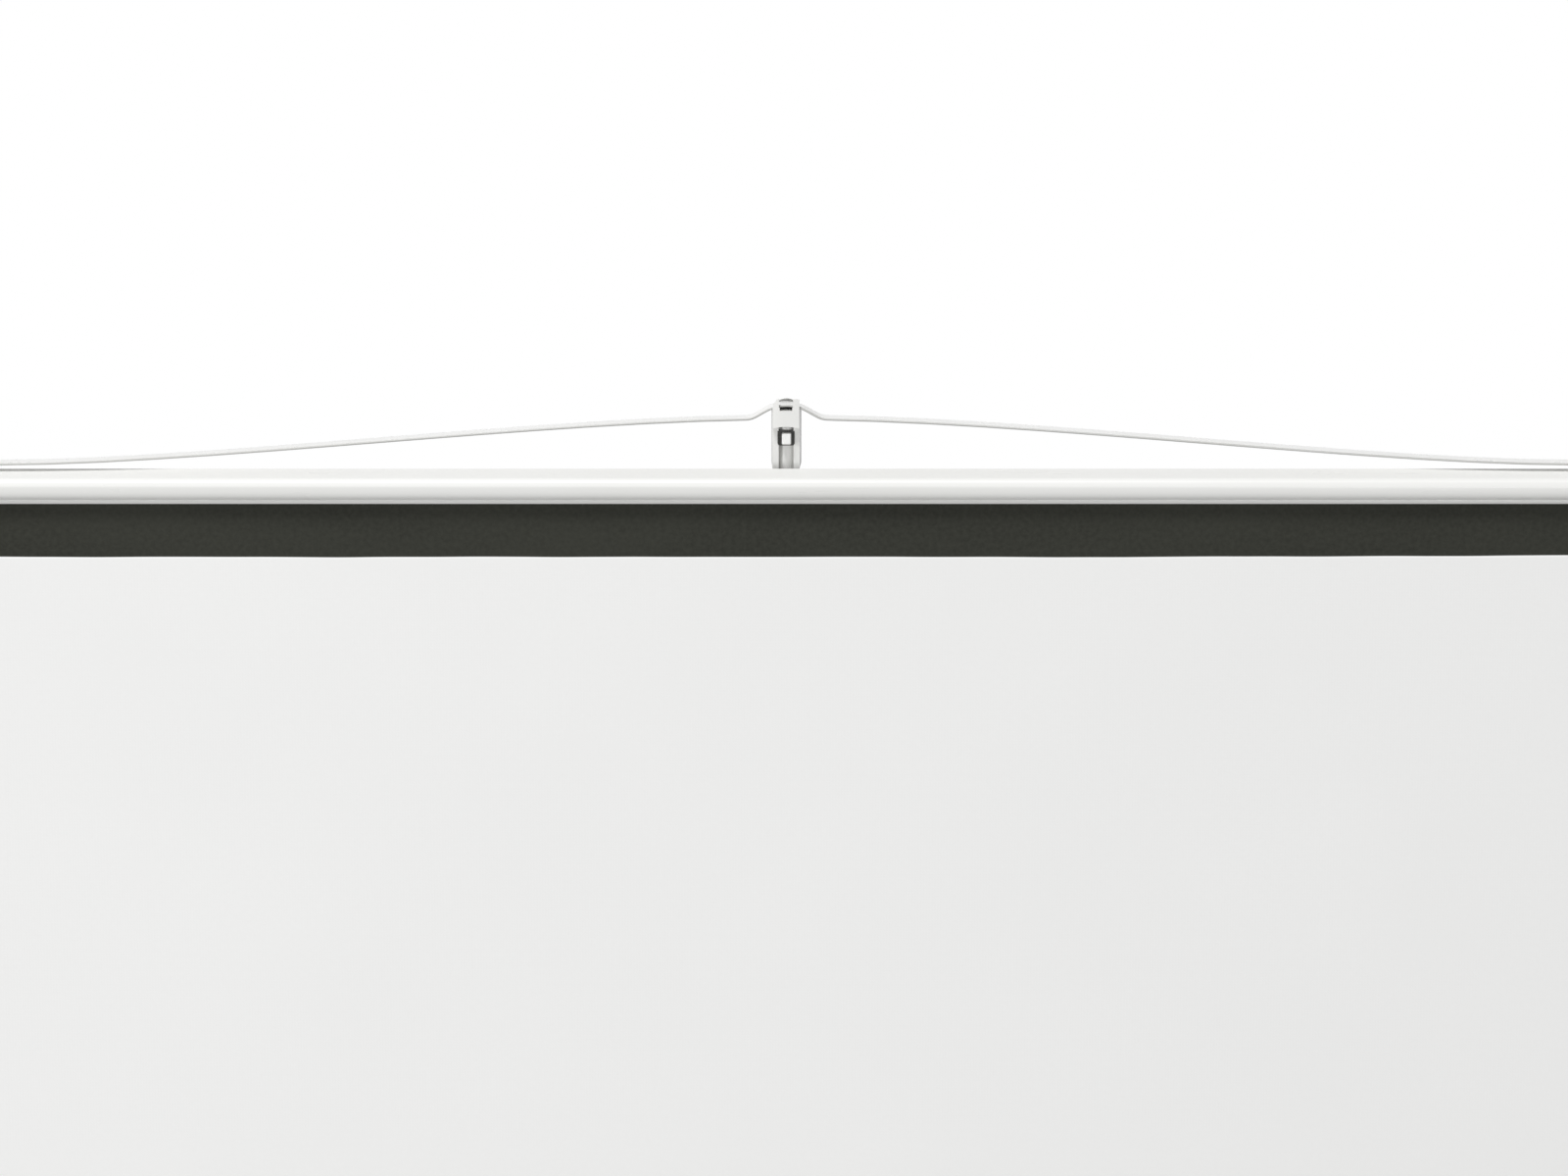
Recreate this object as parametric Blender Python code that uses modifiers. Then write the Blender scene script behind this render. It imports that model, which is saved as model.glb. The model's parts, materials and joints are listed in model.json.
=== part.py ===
"""Tripod projector screen: a column on three folding legs carries a spring-roller case, and the
fabric is drawn up out of the case and hung by its bow handle on the hook of the extension tube.

Places are given from the column's axis at floor level: +X right, -Y towards the viewer, +Z up.
"""

import math

import bmesh
import bpy
from mathutils import Vector

# Clearances, in metres
SEAT_GAP = 0.0003
RUNNING_GAP = 0.0006
FACE_GAP = 0.0004
# How far a cutter or a joined stub runs past the face it meets
PAST = 0.010
LAP = 0.002
SMALL_EDGE = 0.001

# Fabric
IMAGE_WIDTH = 1.234
IMAGE_HEIGHT = 1.210
SIDE_BORDER = 0.023
TOP_BORDER = 0.040
BOTTOM_BORDER = 0.030
FABRIC_THICKNESS = 0.0008
HEM_BEAD = 0.006
FABRIC_PLANE = -0.036
FABRIC_WIDTH = IMAGE_WIDTH + 2 * SIDE_BORDER
FABRIC_DROP = TOP_BORDER + IMAGE_HEIGHT + BOTTOM_BORDER

# Case on its pivot
PIVOT_HEIGHT = 1.010
CASE_END_ROOM = 0.025
CASE_HEIGHT = 0.062
CASE_DEPTH = 0.056
CASE_BACK = -0.026
CASE_WALL = 0.0014
CASE_BACK_CORNER = 0.003
CASE_FRONT_CORNER = 0.020
CASE_SLOT = 0.004
CASE_CAP_THICKNESS = 0.010
CASE_CAP_SPIGOT = 0.006
CAP_SCREW_RADIUS = 0.0018
CAP_SCREW_HEAD = 0.0036
CAP_SCREW_HEAD_HEIGHT = 0.0020
CASE_MIDDLE = CASE_BACK - CASE_DEPTH / 2
CASE_TOP = PIVOT_HEIGHT + CASE_HEIGHT / 2
CASE_BOTTOM = PIVOT_HEIGHT - CASE_HEIGHT / 2

# Roller inside the case
ROLLER_RADIUS = 0.0190
ROLLER_WALL = 0.0010
ROLLER_MARGIN = 0.007
ROLL_RADIUS = 0.0200
PLUG_FLANGE = 0.003
PLUG_SPIGOT = 0.020
AXLE_RADIUS = 0.004
AXLE_EDGE = 0.0005
SPRING_ROD_LENGTH = 0.640
SPRING_COIL_RADIUS = 0.0095
SPRING_WIRE = 0.0024
SPRING_PITCH = 0.030
SPRING_TURNS = 13
ANCHOR_THICKNESS = 0.012
ROLLER_AXIS = FABRIC_PLANE - FABRIC_THICKNESS / 2 - SEAT_GAP - ROLL_RADIUS
ROLLER_END = FABRIC_WIDTH / 2 + ROLLER_MARGIN
CASE_END = ROLLER_END + PLUG_FLANGE + CASE_END_ROOM
CASE_LENGTH = 2 * CASE_END

# Carry handle under the case
GRIP_SPAN = 0.116
GRIP_DROP = 0.040
GRIP_RADIUS = 0.006
GRIP_FOOT = 0.024
GRIP_FOOT_THICKNESS = 0.003
GRIP_BEND = 0.014

# Top batten
BATTEN_MARGIN = 0.010
BATTEN_HEIGHT = 0.025
BATTEN_DEPTH = 0.020
BATTEN_BACK_CORNER = 0.0022
SHOULDER_SETBACK = 0.0054
SHOULDER_DROP = 0.0048
BROW_DROP = 0.0115
CHIN_RISE = 0.0062
FRONT_FOOT_SETBACK = 0.0030
FRONT_LIP_HEIGHT = 0.0020
BATTEN_WALL = 0.0016
BATTEN_SLOT = 0.0024
BATTEN_CAP_THICKNESS = 0.004
BATTEN_CAP_SPIGOT = 0.008
BATTEN_BOTTOM = CASE_TOP + FABRIC_DROP
BATTEN_TOP = BATTEN_BOTTOM + BATTEN_HEIGHT
BATTEN_END = FABRIC_WIDTH / 2 + BATTEN_MARGIN
BATTEN_LENGTH = 2 * BATTEN_END
BATTEN_SLOPE = SHOULDER_DROP / (BATTEN_DEPTH - BATTEN_BACK_CORNER - SHOULDER_SETBACK)

# Bow handle, heights of its underside above the batten's top; its ends lie forward of the hook
BOW_DEPTH = 0.018
BOW_THICKNESS = 0.0019
BOW_MIDDLE = -0.0075
BOW_FORWARD = 0.018
CLIP_INSET = 0.044
BOW_END_OVERLAP = 0.017
BOW_LIFT = 0.0033
BOW_BEND_LENGTH = 0.116
BOW_SAG = 0.0101
BOW_SAG_LENGTH = 0.134
HUMP_FOOT = 0.0265
HUMP_FOOT_HEIGHT = 0.0352
HUMP_SLOPE = 0.580
HUMP_CROWN = 0.015
BOW_CLIP_START = BATTEN_END - CLIP_INSET
BOW_FRONT = BOW_MIDDLE - BOW_DEPTH / 2
BOW_REAR = BOW_MIDDLE + BOW_DEPTH / 2
CLIP_LENGTH = 0.024
CLIP_ROOF = 0.0026
CLIP_CHEEK = 0.003
CLIP_SKIRT = 0.012
CLIP_SKIRT_THICKNESS = 0.0035
CLIP_SHELF = 0.0005

# Column
OUTER_TUBE_RADIUS = 0.0125
OUTER_TUBE_WALL = 0.0012
COLUMN_BOTTOM = 0.040
COLUMN_TOP = 1.400
INNER_TUBE_RADIUS = 0.008
INNER_TUBE_WALL = 0.001
TUBE_OVERLAP = 0.200
TOP_COLLAR_RADIUS = 0.0168
TOP_COLLAR_GRIP = 0.024
TOP_COLLAR_RISE = 0.024
TOP_COLLAR_CHAMFER = 0.001
BASE_PLUG_FLANGE = 0.0145
BASE_PLUG_THICKNESS = 0.004
PLUG_DEPTH = 0.015
STUD_RADIUS = 0.0028
KNOB_RADIUS = 0.016
KNOB_THICKNESS = 0.014
KNOB_LOBES = 6
KNOB_FLUTE = 0.09
KNOB_BOSS_RADIUS = 0.007
KNOB_BOSS_REACH = 0.024

# Hook head on the extension tube, heights above the batten's top
HOOK_WIDTH = 0.0225
HOOK_PLATE_THICKNESS = 0.0022
HOOK_BACK_WALL = 0.0034
HOOK_DROP = 0.0045
HOOK_CORNER = 0.004
HOOK_TOP = 0.0520
HOOK_CHAMFER_WIDTH = 0.0042
HOOK_CHAMFER_HEIGHT = 0.0055
HOOK_LIP_RADIUS = 0.0100
HOOK_LIP_RISE = 0.0020
HOOK_NOTCH_WIDTH = 0.010
HOOK_NOTCH_BOTTOM = 0.0430
HOOK_NOTCH_DEPTH = 0.008
HOOK_CAP_BOTTOM = 0.0292
HOOK_CAP_ARCH = 0.0016
HOOK_CAP_OVERHANG = 0.0073
HOOK_CHANNEL = 0.0116
HOOK_TUBE_TOP = 0.0350
BUTTON_WIDTH = 0.0070
BUTTON_HEIGHT = 0.0088
BUTTON_LEVEL = 0.0208
BUTTON_FRONT = -0.0166
BUTTON_EDGE = 0.0008
BUTTON_GAP_BESIDE = 0.0022
BUTTON_GAP_ABOVE = 0.0012
BUTTON_FLANGE_THICKNESS = 0.0012
BUTTON_SPRING_RADIUS = 0.0020
BUTTON_SPRING_WIRE = 0.0006
BUTTON_SPRING_TURNS = 3
RIVET_RADIUS = 0.0020
RIVET_HEAD_HEIGHT = 0.0015
HOOK_RIVET_LEVEL = 0.006
HOOK_FRONT = BOW_FRONT - SEAT_GAP - HOOK_PLATE_THICKNESS

# Slider that carries the case's pivot
SLIDER_WIDTH = 0.043
SLIDER_HEIGHT = 0.056
SLIDER_FRONT = -0.0190
SLIDER_BACK = 0.020
PIVOT_RADIUS = 0.005
PIVOT_DEPTH = 0.0047
PIVOT_HEAD_RADIUS = 0.009
PIVOT_HEAD_THICKNESS = 0.0014
SLIDER_EDGE = 0.003
SWIVEL_WIDTH = 0.096
SWIVEL_HEIGHT = 0.042
SWIVEL_SCREW_SPACING = 0.072

# Tripod
LEG_PIVOT_RADIUS = 0.032
LEG_PIVOT_HEIGHT = 0.305
FOOT_REACH = 0.420
FOOT_LEVEL = 0.014
FOOT_RADIUS = 0.016
FOOT_HEIGHT = 0.030
FOOT_EDGE = 0.003
LEG_HALF_WIDTH = 0.009
LEG_HALF_THICKNESS = 0.0055
LEG_START = 0.018
LEG_END_INSET = 0.010
TONGUE_THICKNESS = 0.006
TONGUE_RADIUS = 0.007
LEG_PIN_RADIUS = 0.0025
LEG_PIN_PROUD = 0.0010
HUB_RADIUS = 0.022
HUB_BELOW = 0.030
HUB_ABOVE = 0.020
HUB_EDGE = 0.002
LUG_REACH = 0.039
LUG_HALF_HEIGHT = 0.012
LUG_THICKNESS = 0.004
STRUT_LENGTH = 0.120
STRUT_WIDTH = 0.012
STRUT_THICKNESS = 0.0025
STRUT_COLLAR_RADIUS = 0.0185
STRUT_COLLAR_HEIGHT = 0.024
STRUT_LUG_THICKNESS = 0.0035
STRUT_LUG_HALF_HEIGHT = 0.008
LEG_DIRECTIONS = (-30, -150, 90)
STRUT_SIDES = (1, -1, 1)

# The column stands behind the origin, so that the three feet lie evenly about it
COLUMN_PLACE = Vector((0, -FOOT_REACH / 4, 0))
LEG_LENGTH = math.hypot(FOOT_REACH - LEG_PIVOT_RADIUS, LEG_PIVOT_HEIGHT - FOOT_LEVEL)
LEG_SPLAY = math.atan2(FOOT_REACH - LEG_PIVOT_RADIUS, LEG_PIVOT_HEIGHT - FOOT_LEVEL)
STRUT_COLLAR_LEVEL = LEG_PIVOT_HEIGHT - 2 * STRUT_LENGTH * math.cos(LEG_SPLAY)

# Fineness
ROUND = 24
SMALL_ROUND = 16
CORNER_STEPS = 4

# Colour, roughness and metallic value of each finish
FINISHES = {
    "white_paint": ((0.86, 0.86, 0.85), 0.35, 0.0),
    "white_plastic": ((0.84, 0.84, 0.83), 0.45, 0.0),
    "fabric": ((0.90, 0.90, 0.89), 0.95, 0.0),
    "rubber": ((0.10, 0.10, 0.10), 0.80, 0.0),
    "steel": ((0.60, 0.60, 0.60), 0.30, 1.0),
    "grey_plastic": ((0.30, 0.30, 0.31), 0.50, 0.0),
}

FLAT_XZ = (math.pi / 2, 0, 0)
FLAT_YZ = (math.pi / 2, 0, math.pi / 2)
ALONG_Y = (-math.pi / 2, 0, 0)
ALONG_X = (0, math.pi / 2, 0)

bodies = {}
collections = {}


# Scene and placing

def clear_scene():
    for thing in list(bpy.data.objects):
        bpy.data.objects.remove(thing, do_unlink=True)


def make_collections():
    for key, name in (("parts", "tripod_projector_screen"), ("cutters", "cutters")):
        collections[key] = bpy.data.collections.new(name)
        bpy.context.scene.collection.children.link(collections[key])


def add_body(name, origin, turn=(0, 0, 0)):
    """An empty on the body's joint axis, which the body's pieces are placed from."""
    empty = bpy.data.objects.new(name, None)
    empty.empty_display_size = 0.02
    empty.location = COLUMN_PLACE + Vector(origin)
    empty.rotation_euler = turn
    collections["parts"].objects.link(empty)
    bodies[name] = (empty, Vector(origin))


def finish_material(name, finish):
    colour, roughness, metallic = FINISHES[finish]
    material = bpy.data.materials.new(name)
    material.use_nodes = True
    shader = material.node_tree.nodes["Principled BSDF"]
    shader.inputs["Base Color"].default_value = (*colour, 1)
    shader.inputs["Roughness"].default_value = roughness
    shader.inputs["Metallic"].default_value = metallic
    material.diffuse_color = (*colour, 1)
    return material


def put_local(name, mesh, body, place, finish=None, turn=(0, 0, 0)):
    """A piece, or a cutter where it has no finish, at a place in its body's own frame."""
    piece = bpy.data.objects.new(name, mesh)
    piece.parent = bodies[body][0]
    piece.location = place
    piece.rotation_euler = turn
    if finish:
        mesh.materials.append(finish_material(name, finish))
        collections["parts"].objects.link(piece)
    else:
        piece.hide_render = True
        piece.display_type = "WIRE"
        collections["cutters"].objects.link(piece)
    return piece


def put(name, mesh, body, place, finish=None, turn=(0, 0, 0)):
    """A piece or cutter at a place given from the column's foot."""
    return put_local(name, mesh, body, Vector(place) - bodies[body][1], finish, turn)


def combine(piece, tool, operation):
    boolean = piece.modifiers.new(tool.name, "BOOLEAN")
    boolean.operation = operation
    boolean.object = tool
    boolean.solver = "EXACT"


def cut(piece, tool):
    combine(piece, tool, "DIFFERENCE")


def join(piece, tool):
    combine(piece, tool, "UNION")


# Mesh makers, each about its own centre unless it says otherwise

def mesh_of(shape, name):
    mesh = bpy.data.meshes.new(name)
    shape.to_mesh(mesh)
    shape.free()
    mesh.shade_smooth()
    mesh.set_sharp_from_angle(angle=math.radians(35))
    return mesh


def block(size, bevel=0.0, segments=2):
    shape = bmesh.new()
    bmesh.ops.create_cube(shape, size=1)
    bmesh.ops.scale(shape, vec=size, verts=shape.verts)
    if bevel:
        bmesh.ops.bevel(shape, geom=shape.edges[:], offset=bevel, segments=segments,
                        profile=0.5, affect="EDGES", clamp_overlap=True)
    return mesh_of(shape, "block")


def span_block(low, high, bevel=0.0):
    """A block between two corners, with the place of its centre."""
    low = Vector(low)
    high = Vector(high)
    return block(high - low, bevel), (low + high) / 2


def rod(radius, length, segments=ROUND, bevel=0.0, flat_radius=None):
    """A round or oval bar along Z."""
    shape = bmesh.new()
    bmesh.ops.create_cone(shape, cap_ends=True, segments=segments, radius1=radius,
                          radius2=radius, depth=length)
    if flat_radius:
        bmesh.ops.scale(shape, vec=(1, flat_radius / radius, 1), verts=shape.verts)
    if bevel:
        rims = [edge for edge in shape.edges if edge.verts[0].co.z * edge.verts[1].co.z > 0]
        bmesh.ops.bevel(shape, geom=rims, offset=bevel, segments=2, profile=0.5,
                        affect="EDGES", clamp_overlap=True)
    return mesh_of(shape, "rod")


def profile_mesh(points, closed):
    """A profile of (radius, height) points in the XZ plane, outer side first, top to bottom."""
    mesh = bpy.data.meshes.new("profile")
    count = len(points)
    last = count if closed else count - 1
    edges = [(index, (index + 1) % count) for index in range(last)]
    mesh.from_pydata([(radius, 0, height) for radius, height in points], edges, [])
    return mesh


def turn_profile(piece, steps=ROUND):
    screw = piece.modifiers.new("turned", "SCREW")
    screw.steps = steps
    screw.render_steps = steps
    screw.use_merge_vertices = True
    screw.merge_threshold = 0.00001
    screw.use_smooth_shade = False


def ring_profile(outer, inner, low, high):
    return [(outer, high), (outer, low), (inner, low), (inner, high)]


def flat_plate(points, thickness):
    """A flat outline in its local XY plane with a thickness along Z."""
    curve = bpy.data.curves.new("outline", "CURVE")
    curve.dimensions = "2D"
    curve.fill_mode = "BOTH"
    curve.extrude = thickness / 2
    spline = curve.splines.new("POLY")
    spline.points.add(len(points) - 1)
    for point, (across, up) in zip(spline.points, points):
        point.co = (across, up, 0, 1)
    spline.use_cyclic_u = True
    return curve_to_mesh(curve)


def curve_to_mesh(curve):
    holder = bpy.data.objects.new("curve", curve)
    bpy.context.scene.collection.objects.link(holder)
    graph = bpy.context.evaluated_depsgraph_get()
    mesh = bpy.data.meshes.new_from_object(holder.evaluated_get(graph))
    bpy.data.objects.remove(holder)
    bpy.data.curves.remove(curve)
    shape = bmesh.new()
    shape.from_mesh(mesh)
    bmesh.ops.remove_doubles(shape, verts=shape.verts, dist=0.00001)
    shape.to_mesh(mesh)
    shape.free()
    mesh.materials.clear()
    mesh.shade_smooth()
    mesh.set_sharp_from_angle(angle=math.radians(35))
    return mesh


def wire(points, radius, resolution):
    """A round wire along a row of points."""
    curve = bpy.data.curves.new("wire", "CURVE")
    curve.dimensions = "3D"
    curve.bevel_depth = radius
    curve.bevel_resolution = resolution
    curve.use_fill_caps = True
    spline = curve.splines.new("POLY")
    spline.points.add(len(points) - 1)
    for point, place in zip(spline.points, points):
        point.co = (*place, 1)
    return curve_to_mesh(curve)


def helix(radius, pitch, turns, points_per_turn=8):
    """Points of a coil that climbs along Z."""
    count = turns * points_per_turn + 1
    places = []
    for index in range(count):
        turned = index / points_per_turn
        angle = 2 * math.pi * turned
        places.append((radius * math.cos(angle), radius * math.sin(angle), pitch * turned))
    return places


# Outlines

def corner_arc(centre, radius, start_degrees, end_degrees, steps=CORNER_STEPS):
    points = []
    for index in range(steps + 1):
        angle = math.radians(start_degrees + (end_degrees - start_degrees) * index / steps)
        points.append((centre[0] + radius * math.cos(angle), centre[1] + radius * math.sin(angle)))
    return points


def rounded_box(left, right, bottom, top, left_radius, right_radius):
    """Clockwise from the top right corner: down the right side, along the bottom, up the left."""
    points = corner_arc((right - right_radius, top - right_radius), right_radius, 90, 0)
    points += corner_arc((right - right_radius, bottom + right_radius), right_radius, 0, -90)
    points += corner_arc((left + left_radius, bottom + left_radius), left_radius, -90, -180)
    points += corner_arc((left + left_radius, top - left_radius), left_radius, 180, 90)
    return points


def split_at_top(outer, inner, middle, width, outer_level, inner_level):
    """A hollow section that is open along a slot in its top."""
    right = middle + width / 2
    left = middle - width / 2
    centre = (min(point[1] for point in outer) + outer_level) / 2

    def kept(points):
        return [point for point in points if not (left < point[0] < right and point[1] > centre)]

    outside = [(right, outer_level)] + kept(outer) + [(left, outer_level)]
    inside = [(left, inner_level)] + list(reversed(kept(inner))) + [(right, inner_level)]
    return outside + inside


def case_outline(inset):
    """The case's section, outer for no inset: flat at the back (+Y) and rounded at the front."""
    front = CASE_BACK - CASE_DEPTH
    back_corner = max(CASE_BACK_CORNER - inset, SEAT_GAP)
    return rounded_box(front + inset, CASE_BACK - inset, CASE_BOTTOM + inset, CASE_TOP - inset,
                       CASE_FRONT_CORNER - inset, back_corner)


def bent(start, control, end, steps=CORNER_STEPS):
    """Points of a soft bend that leaves its start and meets its end towards one control point."""
    points = []
    for index in range(1, steps + 1):
        share = index / steps
        weights = ((1 - share) ** 2, 2 * share * (1 - share), share ** 2)
        points.append(tuple(sum(weight * place[axis] for weight, place in zip(weights, (start, control, end)))
                            for axis in (0, 1)))
    return points


def batten_outline(inset):
    """The batten's section, from its back foot over the top, which slopes to the front, to its front foot."""
    face = FABRIC_PLANE - BATTEN_DEPTH / 2
    front = face + inset
    back = FABRIC_PLANE + BATTEN_DEPTH / 2 - inset
    low = BATTEN_BOTTOM + inset
    high = BATTEN_TOP - inset
    corner = max(BATTEN_BACK_CORNER - inset, SEAT_GAP)
    shoulder = (face + SHOULDER_SETBACK, high - SHOULDER_DROP)
    over_brow = (front, shoulder[1] - (shoulder[0] - front) * BATTEN_SLOPE)
    brow = (front, BATTEN_TOP - BROW_DROP)
    points = corner_arc((back - corner, low + corner), corner, -90, 0)
    points += corner_arc((back - corner, high - corner), corner, 0, 90)
    points.append(shoulder)
    points += bent(shoulder, over_brow, brow)
    lip = front + FRONT_FOOT_SETBACK
    points += bent(brow, (front, low + CHIN_RISE), (lip, low + FRONT_LIP_HEIGHT))
    return points + [(lip, low)]


def shifted(points, across, up):
    return [(point[0] - across, point[1] - up) for point in points]


def bow_run(inward):
    """The strip leaves its clip level and bends up to a straight slope."""
    return inward - BOW_BEND_LENGTH * (1 - math.exp(-inward / BOW_BEND_LENGTH))


def bow_sag(inward, span):
    """The strip bends back towards level as it nears the hook."""
    return BOW_SAG * (math.exp((inward - span) / BOW_SAG_LENGTH) - math.exp(-span / BOW_SAG_LENGTH))


def bow_underside(x):
    """Height of the bow's underside above the batten's top, at a distance from the middle."""
    reach = abs(x)
    span = BOW_CLIP_START - HUMP_FOOT
    inward = min(max(BOW_CLIP_START - reach, 0), span)
    slope = (HUMP_FOOT_HEIGHT - BOW_LIFT + bow_sag(span, span)) / bow_run(span)
    height = BOW_LIFT + slope * bow_run(inward) - bow_sag(inward, span)
    if reach < HUMP_FOOT:
        height += HUMP_SLOPE * (HUMP_FOOT - max(reach, HUMP_CROWN))
    if reach < HUMP_CROWN:
        lean = math.atan(HUMP_SLOPE)
        radius = HUMP_CROWN / math.sin(lean)
        height += math.sqrt(radius ** 2 - reach ** 2) - radius * math.cos(lean)
    return height


def bow_forward(x):
    """How far the bow lies forward of the hook: it leans back as it climbs from its clips."""
    drop = HUMP_FOOT_HEIGHT - bow_underside(max(abs(x), HUMP_FOOT))
    return BOW_FORWARD * drop / (HUMP_FOOT_HEIGHT - BOW_LIFT)


def bow_stations():
    """Distances from the middle where the bow's line needs a point."""
    span = BOW_CLIP_START - HUMP_FOOT
    crown = [HUMP_CROWN * index / 4 for index in range(5)]
    long_run = [HUMP_FOOT + span * (index / 14) for index in range(15)]
    return crown + long_run + [BOW_CLIP_START + BOW_END_OVERLAP]


def bow_line(offset, limit=None):
    """Points from left to right, offset above the underside, square to the line."""
    reaches = [reach for reach in bow_stations() if limit is None or reach < limit]
    if limit is not None:
        reaches.append(limit)
    places = [-reach for reach in reversed(reaches)] + reaches[1:]
    points = []
    for x in places:
        step = 0.0005
        lean = math.atan2(bow_underside(x + step) - bow_underside(x - step), 2 * step)
        points.append((x - offset * math.sin(lean), bow_underside(x) + offset * math.cos(lean)))
    return points


# Column and tripod

def make_outer_column():
    bore = OUTER_TUBE_RADIUS - OUTER_TUBE_WALL
    column = put("outer_column", profile_mesh(
        ring_profile(OUTER_TUBE_RADIUS, bore, COLUMN_BOTTOM, COLUMN_TOP), True),
        "stand", (0, 0, 0), "white_paint")
    turn_profile(column)
    low = COLUMN_BOTTOM - SEAT_GAP
    flange_low = low - BASE_PLUG_THICKNESS
    fit = bore - SEAT_GAP
    plug = put("column_base_plug", profile_mesh(
        [(0, low + PLUG_DEPTH), (fit, low + PLUG_DEPTH), (fit, low), (BASE_PLUG_FLANGE, low),
         (BASE_PLUG_FLANGE, flange_low), (0, flange_low)], False),
        "stand", (0, 0, 0), "grey_plastic")
    turn_profile(plug)


def knob_hole(name, body, piece, level, start, end):
    length = end - start
    hole = put(name, rod(STUD_RADIUS + SEAT_GAP, length, SMALL_ROUND), body,
               (0, (start + end) / 2, level), turn=ALONG_Y)
    cut(piece, hole)


def make_top_collar():
    low = COLUMN_TOP - TOP_COLLAR_GRIP
    high = COLUMN_TOP + TOP_COLLAR_RISE
    grip = OUTER_TUBE_RADIUS + SEAT_GAP
    guide = INNER_TUBE_RADIUS + SEAT_GAP
    step = COLUMN_TOP + SEAT_GAP
    chamfer = TOP_COLLAR_CHAMFER
    collar = put("column_top_collar", profile_mesh(
        [(TOP_COLLAR_RADIUS - chamfer, high), (TOP_COLLAR_RADIUS, high - chamfer),
         (TOP_COLLAR_RADIUS, low), (grip, low), (grip, step), (guide, step), (guide, high)], True),
        "stand", (0, 0, 0), "white_plastic")
    turn_profile(collar)
    level = column_knob_level()
    start = (TOP_COLLAR_RADIUS + guide) / 2
    boss = put("top_collar_boss", rod(KNOB_BOSS_RADIUS, KNOB_BOSS_REACH - start, SMALL_ROUND),
               "stand", (0, (start + KNOB_BOSS_REACH) / 2, level), turn=ALONG_Y)
    join(collar, boss)
    knob_hole("top_collar_hole", "stand", collar, level, 0, KNOB_BOSS_REACH + PAST)


def column_knob_level():
    return COLUMN_TOP + TOP_COLLAR_RISE / 2


def make_knob(name, body, level, tip, seat):
    """A lobed clamping knob: its stud runs from its tip to its head, which stands off its seat."""
    shape = bmesh.new()
    around = KNOB_LOBES * 6
    bmesh.ops.create_cone(shape, cap_ends=True, segments=around, radius1=KNOB_RADIUS,
                          radius2=KNOB_RADIUS, depth=KNOB_THICKNESS)
    for vert in shape.verts:
        angle = math.atan2(vert.co.y, vert.co.x)
        swell = 1 - KNOB_FLUTE * (1 - math.cos(KNOB_LOBES * angle))
        vert.co.x *= swell
        vert.co.y *= swell
    head_start = seat + RUNNING_GAP
    middle = head_start + KNOB_THICKNESS / 2
    knob = put(name, mesh_of(shape, name), body, (0, middle, level), "grey_plastic", ALONG_Y)
    stud_end = middle
    stud = put(name + "_stud", rod(STUD_RADIUS, stud_end - tip, SMALL_ROUND), body,
               (0, (tip + stud_end) / 2, level), turn=ALONG_Y)
    join(knob, stud)


def radial(direction, reach, side, level):
    """A place at a reach from the column along a leg's direction, and to one side of it."""
    angle = math.radians(direction)
    return (reach * math.cos(angle) - side * math.sin(angle),
            reach * math.sin(angle) + side * math.cos(angle), level)


def make_hub():
    height = HUB_BELOW + HUB_ABOVE
    middle = LEG_PIVOT_HEIGHT + (HUB_ABOVE - HUB_BELOW) / 2
    hub = put("leg_hub", rod(HUB_RADIUS, height, ROUND, bevel=HUB_EDGE), "stand",
              (0, 0, middle), "white_plastic")
    slot = TONGUE_THICKNESS / 2 + SEAT_GAP
    width = 2 * (slot + LUG_THICKNESS)
    inner = (HUB_RADIUS + OUTER_TUBE_RADIUS) / 2
    for number, direction in enumerate(LEG_DIRECTIONS, 1):
        turn = (0, 0, math.radians(direction))
        lug = put(f"hub_lug_{number}", block((LUG_REACH - inner, width, 2 * LUG_HALF_HEIGHT), HUB_EDGE),
                  "stand", radial(direction, (LUG_REACH + inner) / 2, 0, LEG_PIVOT_HEIGHT), turn=turn)
        join(hub, lug)
    for number, direction in enumerate(LEG_DIRECTIONS, 1):
        turn = (0, 0, math.radians(direction))
        slot_start = HUB_RADIUS + SEAT_GAP
        opening = put(f"hub_slot_{number}",
                      block((LUG_REACH - slot_start + PAST, 2 * slot, 4 * LUG_HALF_HEIGHT)), "stand",
                      radial(direction, (LUG_REACH + slot_start + PAST) / 2, 0, LEG_PIVOT_HEIGHT),
                      turn=turn)
        cut(hub, opening)
        hole = put(f"hub_pin_hole_{number}", rod(LEG_PIN_RADIUS + SEAT_GAP, width + PAST, SMALL_ROUND),
                   "stand", radial(direction, LEG_PIVOT_RADIUS, 0, LEG_PIVOT_HEIGHT),
                   turn=(math.pi / 2, 0, math.radians(direction)))
        cut(hub, hole)
        pin_length = width + 2 * LEG_PIN_PROUD
        put(f"leg_pin_{number}", rod(LEG_PIN_RADIUS, pin_length, SMALL_ROUND),
            "stand", radial(direction, LEG_PIVOT_RADIUS, 0, LEG_PIVOT_HEIGHT), "steel",
            (math.pi / 2, 0, math.radians(direction)))
    bore = put("hub_bore", rod(OUTER_TUBE_RADIUS + SEAT_GAP, height + PAST), "stand", (0, 0, middle))
    cut(hub, bore)


def strut_inner_face():
    return LEG_HALF_THICKNESS + RUNNING_GAP


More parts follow.
